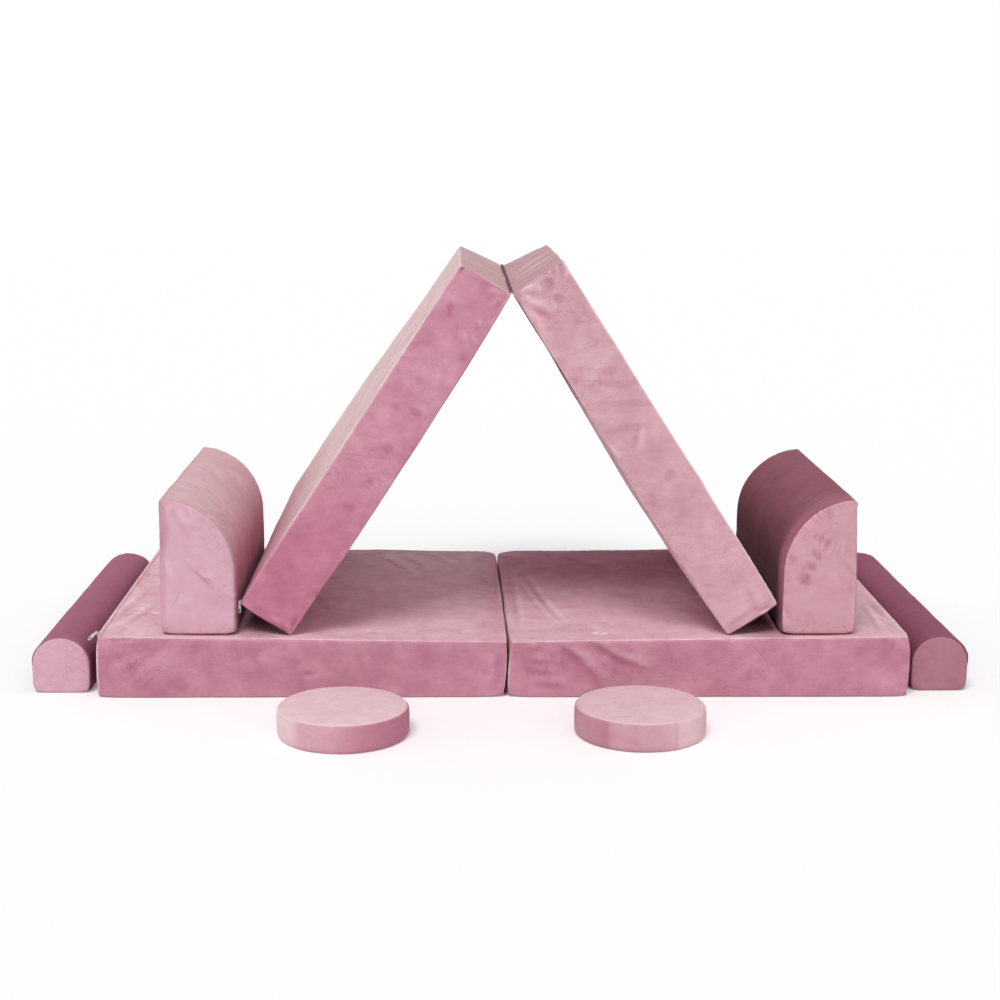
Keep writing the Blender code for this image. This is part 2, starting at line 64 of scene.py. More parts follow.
# A zip's recess (half width, rim, depth), its tape, how far it stops from a cover's end, and where it lies
ZIP_HALF, ZIP_RIM, ZIP_DEEP = 0.0043, 0.0006, 0.0019
MAT_TAPE_HALF, TAPE_HALF = 0.0030, 0.0041
MAT_ZIP_END, LONG_ZIP_END = 0.022, 0.030
ARM_ZIP_HEIGHT, BOLSTER_ZIP_HEIGHT = 0.036, 0.031
STOOL_ZIP_SHARE = 11 / 30

# A fabric hinge's two radii, and how far it stops from a mat's sides
HINGE_OUTER, HINGE_INNER, HINGE_END = 0.00314, 0.00174, 0.012
HINGE_SEED = 17

# How far inside its cover a core lies
MAT_CORE_INSET, CORE_INSET = 0.0065, 0.006

# How far the ridge's valley hangs, at the front and at the back
VALLEY_DROP = (0.0003, 0.0006)

# How much each channel follows a change in brightness, of the pile and of painted light and shade: darker
# is deeper in colour, paler greyer
PILE_POWERS = (0.75, 1.35, 1.1)

# Distances from a seam at which a panel has a row of points
NEAR = np.array((0, .0008, .0017, .0026, .0036, .0043, .0051, .0062, .0078,
                 .0098, .0124, .0157, .0198, .025, .0315))

# A spot's half size from which its rim is wide, the two rims as shares of it, and how strong folds are
WIDE_SPOT, SMALL_RIM, WIDE_RIM = 0.1, 0.28, 0.6
FOLD_STRENGTH = 1.4

# A seam's painted highlight on its pale rim (how far out, how wide and how strong) and painted shade in its
# dark groove (how wide and how strong)
SEAM_HIGHLIGHT, SEAM_GROOVE_SHADE = (0.0026, 0.0015, 0.13), (0.0009, 0.30)


# Numbers

def srgb(*values):
    """The linear colour of one written as 0 to 255."""
    share = np.array(values) / 255
    return np.where(share < 0.04045, share / 12.92, ((share + 0.055) / 1.055) ** 2.4)


def smooth(value, low, high):
    """0 at low and beyond it, 1 at high and beyond it, and an even curve between them."""
    share = np.clip((value - low) / (high - low), 0, 1)
    return share * share * (3 - 2 * share)


def mixed(first, second, share):
    """The first where the share is 0, the second where it is 1."""
    return first * (1 - share) + second * share


def bulge(share, power=4):
    """1 in the middle of a panel, 0 at its seams, for a place of -1 to 1."""
    return 1 - np.abs(share) ** power


def field(points, wave, seed, stretch=(1, 1, 1), count=22):
    """A smooth random field of about -1 to 1 over points in space, of this wavelength."""
    draw = np.random.default_rng(seed)
    way = draw.normal(size=(count, 3))
    way /= np.linalg.norm(way, axis=1)[:, None]
    way *= (2 * math.pi / wave * draw.uniform(0.55, 1.5, count))[:, None]
    phase = draw.uniform(0, 2 * math.pi, count)
    return np.cos((points * np.array(stretch)) @ way.T + phase).sum(1) / math.sqrt(2 * count)


def ripple(along, seed, low=0.011, high=0.028, count=12):
    """Uneven puckers along a seam, in clusters, of about -1 to 1."""
    draw = np.random.default_rng(seed)
    total = np.zeros_like(along)
    for wave, phase in zip(draw.uniform(low, high, count), draw.uniform(0, 2 * math.pi, count)):
        total += np.cos(2 * math.pi * along / wave + phase)
    cluster = np.cos(2 * math.pi * along / draw.uniform(0.13, 0.24) + draw.uniform(0, 6))
    cluster += np.cos(2 * math.pi * along / draw.uniform(0.05, 0.10) + draw.uniform(0, 6))
    return total / math.sqrt(2 * count) * (0.55 + 0.45 * cluster / 2)


def crease(plane, start, end, width, bow=0.0):
    """A crease across a panel: its valley and the lip along one side, each 0 to 1, fading to its ends."""
    start, run = np.array(start), np.array(end) - np.array(start)
    length = np.linalg.norm(run)
    side = np.array((-run[1], run[0])) / length
    along = (plane - start) @ run / length ** 2
    inside = np.clip(along, 0, 1)
    across = (plane - start) @ side + bow * 4 * inside * (1 - inside)
    fade = np.sin(math.pi * inside) ** 0.6
    valley = np.exp(-(across / width) ** 2) * fade
    lip = np.exp(-((across - 1.7 * width) / (1.2 * width)) ** 2) * fade
    return valley, lip


def spot(plane, centre, size, tilt, hard):
    """1 inside an ellipse on a panel, fading over its rim."""
    off = plane - np.array(centre)
    cos, sin = math.cos(tilt), math.sin(tilt)
    u = (off[:, 0] * cos + off[:, 1] * sin) / size[0]
    v = (-off[:, 0] * sin + off[:, 1] * cos) / size[1]
    return 1 - smooth(np.hypot(u, v), 1 - hard, 1 + hard)


def worn(plane, space, look, seed):
    """A panel's height and brightness: slack cloth, clouds in the pile, its spots, and its folds with
    painted shade in their valleys and a painted highlight on their lips.
    """
    push = look["rough"] * field(space, 0.16, seed * 7)
    push += 0.35 * look["rough"] * field(space, 0.055, seed * 11)
    tone = 1 + look["cloud"] * (0.55 * field(space, 0.10, seed * 13) + 0.45 * field(space, 0.04, seed * 17))
    for x, y, wide, high, tilt, percent in look["spots"]:
        size = (wide / 1000, high / 1000)
        hard = SMALL_RIM if max(size) < WIDE_SPOT else WIDE_RIM
        tone *= 1 + (percent / 100 - 1) * spot(plane, (x / 1000, y / 1000), size, math.radians(tilt), hard)
    for x, y, to_x, to_y, width, depth, percent, bow in look["folds"]:
        start, end = (x / 1000, y / 1000), (to_x / 1000, to_y / 1000)
        valley, lip = crease(plane, start, end, width / 10000, bow / 1000)
        push += FOLD_STRENGTH * depth / 10000 * (0.6 * lip - valley)
        # Painted shade in the fold's valley and a painted highlight on its lip
        tone *= 1 + FOLD_STRENGTH * percent / 100 * (lip - valley)
    return push, tone


def toned(colour, tone):
    """A colour made brighter or darker as velvet is, by marks in the pile and by painted light and shade."""
    return colour * tone[:, None] ** np.array(PILE_POWERS)


def seam_light_and_shade(distance):
    """Brightness beside a seam: painted shade in its groove, and a painted highlight on the rim where
    the pile turns over.
    """
    out, wide, pale = SEAM_HIGHLIGHT
    groove, dark = SEAM_GROOVE_SHADE
    return 1 + pale * np.exp(-((distance - out) / wide) ** 2) - dark * np.exp(-(distance / groove) ** 2)


# Meshes

def added(name, data):
    """A new object in the scene."""
    item = bpy.data.objects.new(name, data)
    bpy.context.scene.collection.objects.link(item)
    return item


def make_mesh(name, points, faces, tint, look, nap=1.0):
    """A smooth-shaded object from arrays, with its colour and how ruffled its nap is as an attribute."""
    mesh = bpy.data.meshes.new(name)
    mesh.from_pydata([tuple(p) for p in points], [], [tuple(f) for f in faces])
    mesh.update()
    mesh.shade_smooth()
    if tint is not None:
        layer = mesh.color_attributes.new("tint", "FLOAT_COLOR", "POINT")
        values = np.full((len(points), 4), nap, np.float32)
        values[:, :3] = tint
        layer.data.foreach_set("color", values.ravel())
    mesh.materials.append(look)
    return added(name, mesh)


def box_skin(lines):
    """The points of a box's surface, one for each crossing of its lines, and its quads facing out."""
    shape = tuple(len(line) for line in lines)
    skin = np.zeros(shape, bool)
    for axis in range(3):
        edge = [slice(None)] * 3
        for side in (0, -1):
            edge[axis] = side
            skin[tuple(edge)] = True
    index = np.full(shape, -1)
    index[skin] = np.arange(skin.sum())
    where = np.argwhere(skin)
    points = np.stack([lines[axis][where[:, axis]] for axis in range(3)], 1)
    faces = []
    for axis in range(3):
        for side in (0, -1):
            sheet = np.take(index, side, axis)
            quads = np.stack([sheet[:-1, :-1], sheet[1:, :-1], sheet[1:, 1:], sheet[:-1, 1:]], -1)
            way = -1 if (side == 0) != (axis == 1) else 1
            faces.append(quads.reshape(-1, 4)[:, ::way])
    return points, np.concatenate(faces)


def lines_between(low, high, step, near=NEAR):
    """Line places from low to high: those of NEAR from each end, and even ones between."""
    first, last = low + near, high - near[::-1]
    count = max(int(round((last[0] - first[-1]) / step)), 1)
    inner = np.linspace(first[-1], last[0], count + 1)[1:-1]
    return np.concatenate([first, inner, last])


def rounded_skin(points, low, high, radius_low, radius_high):
    """A box's surface points moved onto its rounded edges, and their normals."""
    inner = np.clip(points, low + radius_low, high - radius_high)
    off = points - inner
    radius = np.where(off < 0, radius_low, radius_high)
    unit = off / radius
    unit /= np.linalg.norm(unit, axis=1)[:, None]
    normal = unit / radius
    normal /= np.linalg.norm(normal, axis=1)[:, None]
    return inner + unit * radius, normal


def box_share(flat, low, high):
    """Each point's place in a box, -1 to 1 along each of its axes."""
    return (flat - (low + high) / 2) / ((high - low) / 2)


def back_share(world):
    """0 at a piece's front, 1 at its back."""
    return (world[:, 1] - world[:, 1].min()) / np.ptp(world[:, 1])


def signed(angle):
    """Angles as ones between -pi and pi."""
    return np.angle(np.exp(1j * angle))


def placed(points, matrix):
    """A module's points, in the frame's coordinates."""
    turn = np.array(matrix.to_3x3())
    return points @ turn.T + np.array(matrix.translation)


def module_matrix(place, x_axis, z_axis=(0, 0, 1)):
    """A module's frame from its origin in the sofa's frame and two of its axes."""
    x, z = Vector(x_axis).normalized(), Vector(z_axis).normalized()
    turn = Matrix((x, z.cross(x), z)).transposed().to_4x4()
    return Matrix.Translation(Vector(ORIGIN) + Vector(place)) @ turn


def tube(count, total):
    """The place of each point in rings of count points, and the quads between them."""
    index = np.arange(total).reshape(-1, count)
    ahead = np.roll(index, -1, 1)
    quads = np.stack([index[:-1], ahead[:-1], ahead[1:], index[1:]], -1).reshape(-1, 4)
    return index, ahead, [tuple(f) for f in quads]


def closed(points, colours, count, first, last):
    """Rings of points with their quads, and a fan at each end to a middle point."""
    total = len(points)
    index, ahead, faces = tube(count, total)
    low = np.stack([np.full(count, total), ahead[0], index[0]], 1)
    high = np.stack([np.full(count, total + 1), index[-1], ahead[-1]], 1)
    faces += [tuple(f) for f in np.concatenate([low, high])]
    colours = np.concatenate([colours, colours[:1], colours[-1:]])
    return np.concatenate([points, [first, last]]), faces, colours


def ringed(rings):
    """Points and faces of a bar whose rings of points follow each other, with both ends closed."""
    index, _, faces = tube(rings.shape[1], rings.shape[0] * rings.shape[1])
    return rings.reshape(-1, 3), faces + [tuple(index[0][::-1]), tuple(index[-1])]


def outward(points, faces):
    """The faces, turned round if they face in."""
    total = 0.0
    for face in faces:
        corners = points[list(face)]
        for k in range(1, len(face) - 1):
            total += float(np.dot(corners[0], np.cross(corners[k], corners[k + 1])))
    return faces if total > 0 else [tuple(face[::-1]) for face in faces]


# Materials

def nodes_of(name):
    """A new material, its node tree, its shader and the object's own coordinates."""
    made = bpy.data.materials.new(name)
    made.use_nodes = True
    tree = made.node_tree
    return made, tree, tree.nodes["Principled BSDF"], tree.nodes.new("ShaderNodeTexCoord").outputs["Object"]


def node(tree, kind, **values):
    """A new node with these inputs and settings."""
    made = tree.nodes.new(kind)
    for key, value in values.items():
        if key in made.inputs:
            made.inputs[key].default_value = value
        else:
            setattr(made, key, value)
    return made


def noise(tree, source, scale, detail=2.0, rough=0.5, stretch=None, twist=0.0):
    """A noise texture over the object's own coordinates."""
    made = node(tree, "ShaderNodeTexNoise", Scale=scale, Detail=detail, Roughness=rough, Distortion=twist)
    if stretch:
        mapping = node(tree, "ShaderNodeMapping", Scale=stretch)
        tree.links.new(source, mapping.inputs["Vector"])
        source = mapping.outputs["Vector"]
    tree.links.new(source, made.inputs["Vector"])
    return made.outputs["Fac"]


def preset(shader, values):
    """Sets a node's own numbers and colours."""
    for key, value in values.items():
        shader.inputs[key].default_value = value


def ranged(tree, value, low, high, to_low, to_high):
    """A value moved from one range to another."""
    made = tree.nodes.new("ShaderNodeMapRange")
    preset(made, {"From Min": low, "From Max": high, "To Min": to_low, "To Max": to_high})
    tree.links.new(value, made.inputs["Value"])
    return made.outputs["Result"]


def maths(tree, operation, first, second):
    """The outcome of an operation on two values or numbers."""
    made = node(tree, "ShaderNodeMath", operation=operation)
    for socket, value in zip(made.inputs, (first, second)):
        if isinstance(value, (int, float)):
            socket.default_value = value
        else:
            tree.links.new(value, socket)
    return made.outputs[0]


def bumped(tree, shader, heights, strength=1.0):
    """Bump from heights in metres."""
    total = heights[0]
    for more in heights[1:]:
        total = maths(tree, "ADD", total, more)
    bump = node(tree, "ShaderNodeBump", Strength=strength, Distance=1.0)
    tree.links.new(total, bump.inputs["Height"])
    tree.links.new(bump.outputs["Normal"], shader.inputs["Normal"])


def scuffs(tree, place):
    """Fine bent lines where the pile has been pressed, in patches, 0 to 1."""
    total = None
    for scale, stretch, patch in ((15, (1, 1, 1.7), 6), (24, (1.6, 1, 1), 9)):
        line = maths(tree, "SUBTRACT", noise(tree, place, scale, 3, 0.55, stretch, 0.7), 0.5)
        line = ranged(tree, maths(tree, "ABSOLUTE", line, 0.0), 0.0, 0.012, 1.0, 0.0)
        patches = ranged(tree, noise(tree, place, patch, 2, 0.5), 0.50, 0.60, 0.0, 1.0)
        masked = maths(tree, "MULTIPLY", line, patches)
        total = masked if total is None else maths(tree, "MAXIMUM", total, masked)
    return total


def velvet():
    """Short-pile velvet: cloudy where the pile has been brushed, with a soft pale sheen."""
    made, tree, shader, place = nodes_of("velvet")
    attribute = node(tree, "ShaderNodeAttribute", attribute_name="tint").outputs
    tint, nap = attribute["Color"], attribute["Alpha"]
    cloud = ranged(tree, noise(tree, place, 18, 4, 0.6), 0.3, 0.7, 0.91, 1.09)
    brush = ranged(tree, noise(tree, place, 42, 5, 0.65, (1.0, 1.0, 2.2)), 0.3, 0.7, 0.93, 1.07)
    pile = ranged(tree, noise(tree, place, 700, 2, 0.7), 0.25, 0.75, 0.93, 1.07)
    scuff = scuffs(tree, place)
    factor = maths(tree, "MULTIPLY", maths(tree, "MULTIPLY", cloud, brush), pile)
    factor = maths(tree, "POWER", factor, nap)
    unscuffed = maths(tree, "SUBTRACT", 1.0, maths(tree, "MULTIPLY", scuff, 0.13))
    factor = maths(tree, "MULTIPLY", factor, unscuffed)
    by_channel = tree.nodes.new("ShaderNodeCombineXYZ")
    for socket, power in zip(by_channel.inputs, PILE_POWERS):
        tree.links.new(maths(tree, "POWER", factor, power), socket)
    mix = node(tree, "ShaderNodeVectorMath", operation="MULTIPLY")
    tree.links.new(tint, mix.inputs[0])
    tree.links.new(by_channel.outputs[0], mix.inputs[1])
    tree.links.new(mix.outputs[0], shader.inputs["Base Color"])
    preset(shader, {"Roughness": 0.85, "Specular IOR Level": 0.12, "Sheen Weight": 0.07,
                    "Sheen Roughness": 0.45, "Sheen Tint": (1.0, 0.66, 0.75, 1.0)})
    bumped(tree, shader, [
        maths(tree, "MULTIPLY", noise(tree, place, 700, 2, 0.7), 0.00035),
        maths(tree, "MULTIPLY", maths(tree, "MULTIPLY", noise(tree, place, 60, 4, 0.6), nap), 0.0014),
        maths(tree, "MULTIPLY", scuff, -0.0006),
    ], 0.6)
    return made


def mottled(tree, shader, value, first, last):
    """Sets a base colour that goes from one colour to another with a value."""
    ramp = tree.nodes.new("ShaderNodeValToRGB")
    ramp.color_ramp.elements[0].color = first
    ramp.color_ramp.elements[1].color = last
    tree.links.new(value, ramp.inputs["Fac"])
    tree.links.new(ramp.outputs["Color"], shader.inputs["Base Color"])


def foam_look():
    """Pale, open foam."""
    made, tree, shader, place = nodes_of("foam_core")
    mottled(tree, shader, noise(tree, place, 400, 3, 0.7), (0.62, 0.54, 0.38, 1), (0.86, 0.80, 0.64, 1))
    preset(shader, {"Roughness": 0.95})
    bumped(tree, shader, [maths(tree, "MULTIPLY", noise(tree, place, 500, 3, 0.7), 0.001)])
    return made


def tape_look():
    """Zip tape: a fine woven band, with the coil a little paler."""
    made, tree, shader, place = nodes_of("zip_band")
    tint = node(tree, "ShaderNodeAttribute", attribute_name="tint").outputs["Color"]
    weave = ranged(tree, noise(tree, place, 1600, 1, 0.5), 0.3, 0.7, 0.86, 1.12)
    mix = node(tree, "ShaderNodeVectorMath", operation="SCALE")
    tree.links.new(tint, mix.inputs[0])
    tree.links.new(weave, mix.inputs["Scale"])
    tree.links.new(mix.outputs[0], shader.inputs["Base Color"])
    preset(shader, {"Roughness": 0.6})
    bumped(tree, shader, [maths(tree, "MULTIPLY", noise(tree, place, 1500, 1, 0.5), 0.0003)])
    return made


def metal_look():
    """Plated zip metal, a little worn."""
    made, tree, shader, place = nodes_of("plated_metal")
    mottled(tree, shader, noise(tree, place, 350, 3, 0.6), (0.52, 0.50, 0.50, 1), (0.78, 0.75, 0.74, 1))
    rough = ranged(tree, noise(tree, place, 900, 2, 0.6), 0.3, 0.7, 0.22, 0.42)
    tree.links.new(rough, shader.inputs["Roughness"])
    preset(shader, {"Metallic": 1.0})
    return made


LOOKS = {"velvet": velvet(), "foam": foam_look(), "zip_tape": tape_look(), "zip_metal": metal_look()}
TAPE = srgb(226, 192, 202)
COIL = srgb(240, 216, 222)


def belongs(item, body, node_name):
    """Hides the solid that a piece stands for, and puts the piece on the body that it rides on."""
    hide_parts(node_name)
    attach(item, body)


def cover(name, points, faces, tint, nap=1.0):
    """A module's velvet cover."""
    item = make_mesh(f"{name}_velvet", points, faces, tint, LOOKS["velvet"], nap)
    belongs(item, name, f"{name}_cover")


def core(name, points, faces):
    """A module's foam core."""
    item = make_mesh(f"{name}_core", points, faces, None, LOOKS["foam"])
    belongs(item, name, f"{name}_foam")


# Folding mats

# A mat's panels, each by its axis and side: hinge end, far end, -Y side, +Y side, underside and top
PANELS = ((0, -1), (0, 1), (1, -1), (1, 1), (2, -1), (2, 1))
FAR_END, SIDES, UNDERSIDE, TOP_PANEL = 1, (2, 3), 4, 5
# Its edge radii on the low and the high side of each axis, and the steps between its rows of points
RADII_LOW = np.array((0.005, 0.0035, 0.0025))
RADII_HIGH = np.array((MAT_RADIUS, 0.0035, MAT_RADIUS))
MAT_STEPS = (0.0045, 0.006, 0.0045)
# How deep and wide the groove of a seam is, how far a corner pulls in, and how far a seam strays
GROOVE_DEEP, GROOVE_WIDE = 0.0007, 0.0012
CORNER_PULL, SWAY = 0.0055, 0.0005
# How far its top, its far end and its sides stand out, and how far its sides' seams lie in
TOP_CROWN, END_CROWN, SIDE_CROWN, SIDE_INSET = 0.001, 0.002, 0.0025, 0.0003
# By its arris: its zip's recess, where the tape's band is gone and full, and the stitching (place and width)
MAT_ZIP_BAND, TAPE_BAND, STITCH = 0.0047, (0.0082, 0.0070), (0.0090, 0.0012)
# Its core's edge radius and the steps between its points
MAT_CORE_RADIUS, MAT_CORE_STEP = 0.004, 0.05


def panel_dress(code, flat, gaps, edge, look, seed):
    """How far out each point of a mat's panel moves for its puckers and marks, and its colour.

    gaps: the distances to the low and to the high sides of the mat. edge: the distance to the nearest seam.
    """
    others = [n for n in range(3) if n != PANELS[code][0]]
    plane = flat[:, others]
    push, tone = worn(plane, flat, look, seed * 10 + code)
    # Puckers run in from each seam
    for k, axis in enumerate(others):
        for far, gap in enumerate(gaps):
            distance = gap[:, axis]
            wave = ripple(plane[:, 1 - k], seed * 100 + code * 10 + k * 2 + far)
            wave = wave * np.exp(-distance / look["reach"]) * smooth(distance, 0, 0.002)
            push += look["pucker"] * wave
            # Painted light and shade that follow the puckers
            tone *= 1 + 0.05 * wave
    if code == UNDERSIDE:
        push *= smooth(plane[:, 0], 0, 0.12)
    colour = look["colour"]
    for start, stop, other in look["fades"]:
        colour = mixed(colour, other, smooth(plane[:, 0], start, stop)[:, None])
    # The zip's tape shows as a pale band beside it, with a dark line along its stitching
    from_zip = gaps[1][:, (0, 2)].max(1)
    colour = mixed(colour, TAPE, look["tape"] * smooth(from_zip, *TAPE_BAND)[:, None])
    tone = tone * (1 - 0.5 * look["tape"] * np.exp(-((from_zip - STITCH[0]) / STITCH[1]) ** 2))
    # The seam's painted highlight and painted shade, as strong as the panel's rim
    return push, toned(colour, tone * seam_light_and_shade(edge) ** look["rim"])


def mat_cover(name, matrix, thick, looks, seed, warp):
    """Half a folding mat's cover. looks gives each panel's colour, puckers, clouds, spots and folds."""
    low = np.array((MAT_GAP, -MAT_DEPTH / 2, 0.0))
    high = np.array((MAT_LENGTH, MAT_DEPTH / 2, thick[0]))
    flat, faces = box_skin([lines_between(low[n], high[n], step) for n, step in enumerate(MAT_STEPS)])
    points, normal = rounded_skin(flat, low, high, RADII_LOW, RADII_HIGH)
    share = box_share(flat, low, high)
    along, across, up = share.T
    panel = panel_of(flat, low, high)
    gaps = np.stack([flat - low, high - flat])
    _, edge, corner = np.sort(gaps.min(0), axis=1).T
    in_zip = zip_band(flat, high)

    # Panels stand out from their seams, as the solids do
    push = np.where(panel == TOP_PANEL, TOP_CROWN * bulge(along) * bulge(across), 0)
    push += np.where(panel == FAR_END, END_CROWN * bulge(across) * bulge(up), 0)
    push += np.where(np.isin(panel, SIDES), SIDE_CROWN * bulge(along) * bulge(up, 6) - SIDE_INSET, 0)
    # The inner faces belly out, less so near the hinge, where the closing halves meet
    belly = smooth(flat[:, 0], 0.03, 0.46) * bulge(np.maximum(along, 0), 3) * bulge(across, 16)
    push += np.where(panel == UNDERSIDE, warp.get("belly", 0) * belly, 0)

    tint = np.zeros((len(points), 3))
    for code, look in enumerate(looks):
        here = panel == code
        local, tint[here] = panel_dress(code, flat[here], gaps[:, here], edge[here], look, seed)
        push[here] += local

    push -= GROOVE_DEEP * np.exp(-(edge / GROOVE_WIDE) ** 2) * (1 - in_zip) + ZIP_DEEP * in_zip
    pull = np.full(len(flat), CORNER_PULL)
    for signs, keep in warp.get("square", ()):
        pull[(share * np.array(signs) > 0).all(1)] *= keep
    push -= pull * np.exp(-(corner / 0.017) ** 1.5) * np.exp(-(edge / 0.03) ** 2) * (1 - in_zip)
    sway = SWAY * field(flat, 0.13, seed * 19) * np.exp(-edge / 0.02) * (1 - in_zip)
    at_fold = (panel == UNDERSIDE) * np.exp(-(flat[:, 0] / 0.04) ** 2)
    push += sway * (1 - at_fold) - 0.0006 * at_fold

    points = points + normal * push[:, None]
    if thick[1] != thick[0]:
        points[:, 2] = np.maximum(points[:, 2], 0.0)
    cover(name, warped(points, share, matrix, thick, warp), faces, tint)


def warped(points, share, matrix, thick, warp):
    """A mat's points in the frame's coordinates, with its taper, its sagging edges and its pulled corners.

    warp, in metres: how far the underside sags between its ends, how far the top swells along its -Y side,
    how the ridge's outer edge shifts (x and z at the front, x and z at the back), and how the front corners
    at the base's middle seam and at its far end shift. mat_cover takes from it how far the underside bellies
    out too, and which corners stay square, as signs of their place and the share of the pull that they keep.
    """
    points = points.copy()
    along, up = (share[:, 0] + 1) / 2, (share[:, 2] + 1) / 2
    points[:, 2] += (thick[1] - thick[0]) * along * up
    points[:, 2] -= warp.get("sag", 0) * bulge(share[:, 0], 2.2) * (1 - up)
    swell = smooth(share[:, 0], -0.9, 0.2) * (1 - smooth(share[:, 0], 0.72, 1.0))
    points[:, 2] += warp.get("swell", 0) * swell * up * (1 - share[:, 1]) / 2
    world = placed(points, matrix)
    back = back_share(world)
    if "ridge" in warp:
        front_x, front_z, back_x, back_z = warp["ridge"]
        top = up * (1 - along)
        world[:, 0] += top * mixed(front_x, back_x, back)
        world[:, 2] += top * mixed(front_z, back_z, back)
        # The valley between the two halves hangs a little, more so at the back
        world[:, 2] -= mixed(*VALLEY_DROP, back) * (1 - up) * np.exp(-along * MAT_LENGTH / 0.03)
    if "seam" in warp:
        front = 1 - back
        shift = (0.003 + 0.005 * up) * front * np.exp(-along * MAT_LENGTH / 0.12)
        corner = np.hypot(along * MAT_LENGTH, np.hypot(back * MAT_DEPTH, (1 - up) * thick[0]))
        world[:, 0] += shift + warp["seam"] * np.exp(-corner / 0.02)
        at_corner = 1 - smooth(back * MAT_DEPTH, 0.0, MAT_ZIP_END)
        world[:, 0] += warp.get("end", 0) * along ** 5 * at_corner * (0.4 + 0.6 * up)
    return world


def panel_of(flat, low, high):
    """Which panel each point of a box belongs to, as its place in PANELS."""
    panel = np.zeros(len(flat), int)
    for code, (axis, side) in enumerate(PANELS):
        edge = low[axis] if side < 0 else high[axis]
        panel[np.abs(flat[:, axis] - edge) < 1e-9] = code
    return panel


def zip_band(flat, high):
    """1 where the zip lies, over the top seam of the mat's far end."""
    from_end = high[0] - flat[:, 0]
    from_top = high[2] - flat[:, 2]
    reach = MAT_DEPTH / 2 - MAT_ZIP_END
    inside = (from_end < MAT_ZIP_BAND) & (from_top < MAT_ZIP_BAND)
    return inside * (1 - smooth(np.abs(flat[:, 1]), reach, reach + 0.002))


def mat_core(name, matrix, thick, warp):
    """The foam inside half a mat."""
    inset = MAT_CORE_INSET
    low = np.array((MAT_GAP + inset, inset - MAT_DEPTH / 2, inset))
    high = np.array((MAT_LENGTH - inset, MAT_DEPTH / 2 - inset, thick[0] - inset))
    near = np.array((0, MAT_CORE_RADIUS / 2, MAT_CORE_RADIUS))
    flat, faces = box_skin([lines_between(low[n], high[n], MAT_CORE_STEP, near) for n in range(3)])
    radius = np.full(3, MAT_CORE_RADIUS)
    points, _ = rounded_skin(flat, low, high, radius, radius)
    share = box_share(flat, low, high)
    inner = {key: value for key, value in warp.items() if key in ("ridge", "seam")}
    core(name, warped(points, share, matrix, thick, inner), faces)


# Zips and fabric hinges

def mat_zip_place(matrix, thick):
    """Where a point of a mat's zip lies, from its place along it, across it and above the crest."""
    taper = (thick[1] - thick[0]) / (MAT_LENGTH - MAT_GAP)
    tilt = (math.pi / 2 + math.atan(taper)) / 2
    centre = np.array((MAT_LENGTH - MAT_RADIUS, thick[1] - MAT_RADIUS))

    def place(along, across, above):
        reach = MAT_RADIUS + above
        turn = tilt - across / (MAT_RADIUS - 0.001)
        at = [centre[0] + reach * np.cos(turn), along, centre[1] + reach * np.sin(turn)]
        return placed(np.stack(at, -1), matrix)

    return place


def flat_zip_place(matrix, side, height):
    """The same for a zip along the flat side of an arm or a bolster, at this height."""
    def place(along, across, above):
        return placed(np.stack([side - above, -along, height + across], -1), matrix)

    return place


def round_zip_place(matrix):
    """The same for a zip round a stool's side."""
    def place(along, across, above):
        turn = math.pi / 2 + along / STOOL_RADIUS
        reach = STOOL_RADIUS + STOOL_BULGE + above
        height = np.broadcast_to(STOOL_HEIGHT / 2 + across, turn.shape)
        return placed(np.stack([reach * np.cos(turn), reach * np.sin(turn), height], -1), matrix)

    return place


# A zip's tape: its top and its underside from the cover's crest, the steps along it, and how its edges ripple
# (how far and how long). Its coil: how far it stops from the tape's end and sinks in, the distance between
# teeth, how far each second one is shifted, half a tooth's foot and crown along the zip, and its section
TAPE_TOP, TAPE_FLOOR, TAPE_STEP = -0.0012, -0.00175, 0.002
TAPE_RIPPLE, TAPE_RIPPLE_LENGTH = 0.00012, 0.004
COIL_END, COIL_SINK = 0.002, 0.00005
TOOTH_PITCH, TOOTH_SHIFT, TOOTH_FOOT, TOOTH_CROWN = 0.0015, 0.00025, 0.00055, 0.0003
TOOTH_ACROSS = np.array((-0.0020, -0.0017, -0.0006, 0.0006, 0.0017, 0.0020))
TOOTH_RISE = np.array((0.0003, 0.0009, 0.0011, 0.0011, 0.0009, 0.0003))


def zip_closure(name, place, half, tape_half, seed):
    """A zip's tape and its closed coil, tooth by tooth."""
    stations = np.linspace(-half, half, int(half / TAPE_STEP))
    edge = np.linspace(-tape_half, tape_half, 7)
    across = np.concatenate([edge, edge[::-1]])
    above = np.repeat((TAPE_TOP, TAPE_FLOOR), 7)
    along, over = np.meshgrid(stations, across, indexing="ij")
    wave = TAPE_RIPPLE * np.cos(along / TAPE_RIPPLE_LENGTH + seed) * (np.abs(over) > tape_half * 0.8)
    points, faces = ringed(place(along, over, above[None, :] + wave))
    all_points, all_faces, tints = [points], outward(points, faces), [np.tile(TAPE, (len(points), 1))]

    reach = half - COIL_END
    total, tooth = len(points), None
    for k, middle in enumerate(np.linspace(-reach, reach, int(2 * reach / TOOTH_PITCH))):
        steps = middle + np.array((-TOOTH_FOOT, -TOOTH_CROWN, TOOTH_CROWN, TOOTH_FOOT))
        along, over = np.meshgrid(steps, TOOTH_ACROSS + TOOTH_SHIFT * (-1) ** k)
        height = TAPE_TOP - COIL_SINK + TOOTH_RISE[:, None] * np.array((0, 1, 1, 0))
        points, faces = ringed(place(along, over, height))
        tooth = tooth or outward(points, faces)
        all_points.append(points)
        all_faces += [tuple(n + total for n in face) for face in tooth]
        tints.append(np.tile(COIL * (1 if k % 2 else 0.93), (len(points), 1)))
        total += len(points)
    points, tints = np.concatenate(all_points), np.concatenate(tints)
    item = make_mesh(f"{name}_zip_coil", points, all_faces, tints, LOOKS["zip_tape"])
    belongs(item, name, f"{name}_zip")


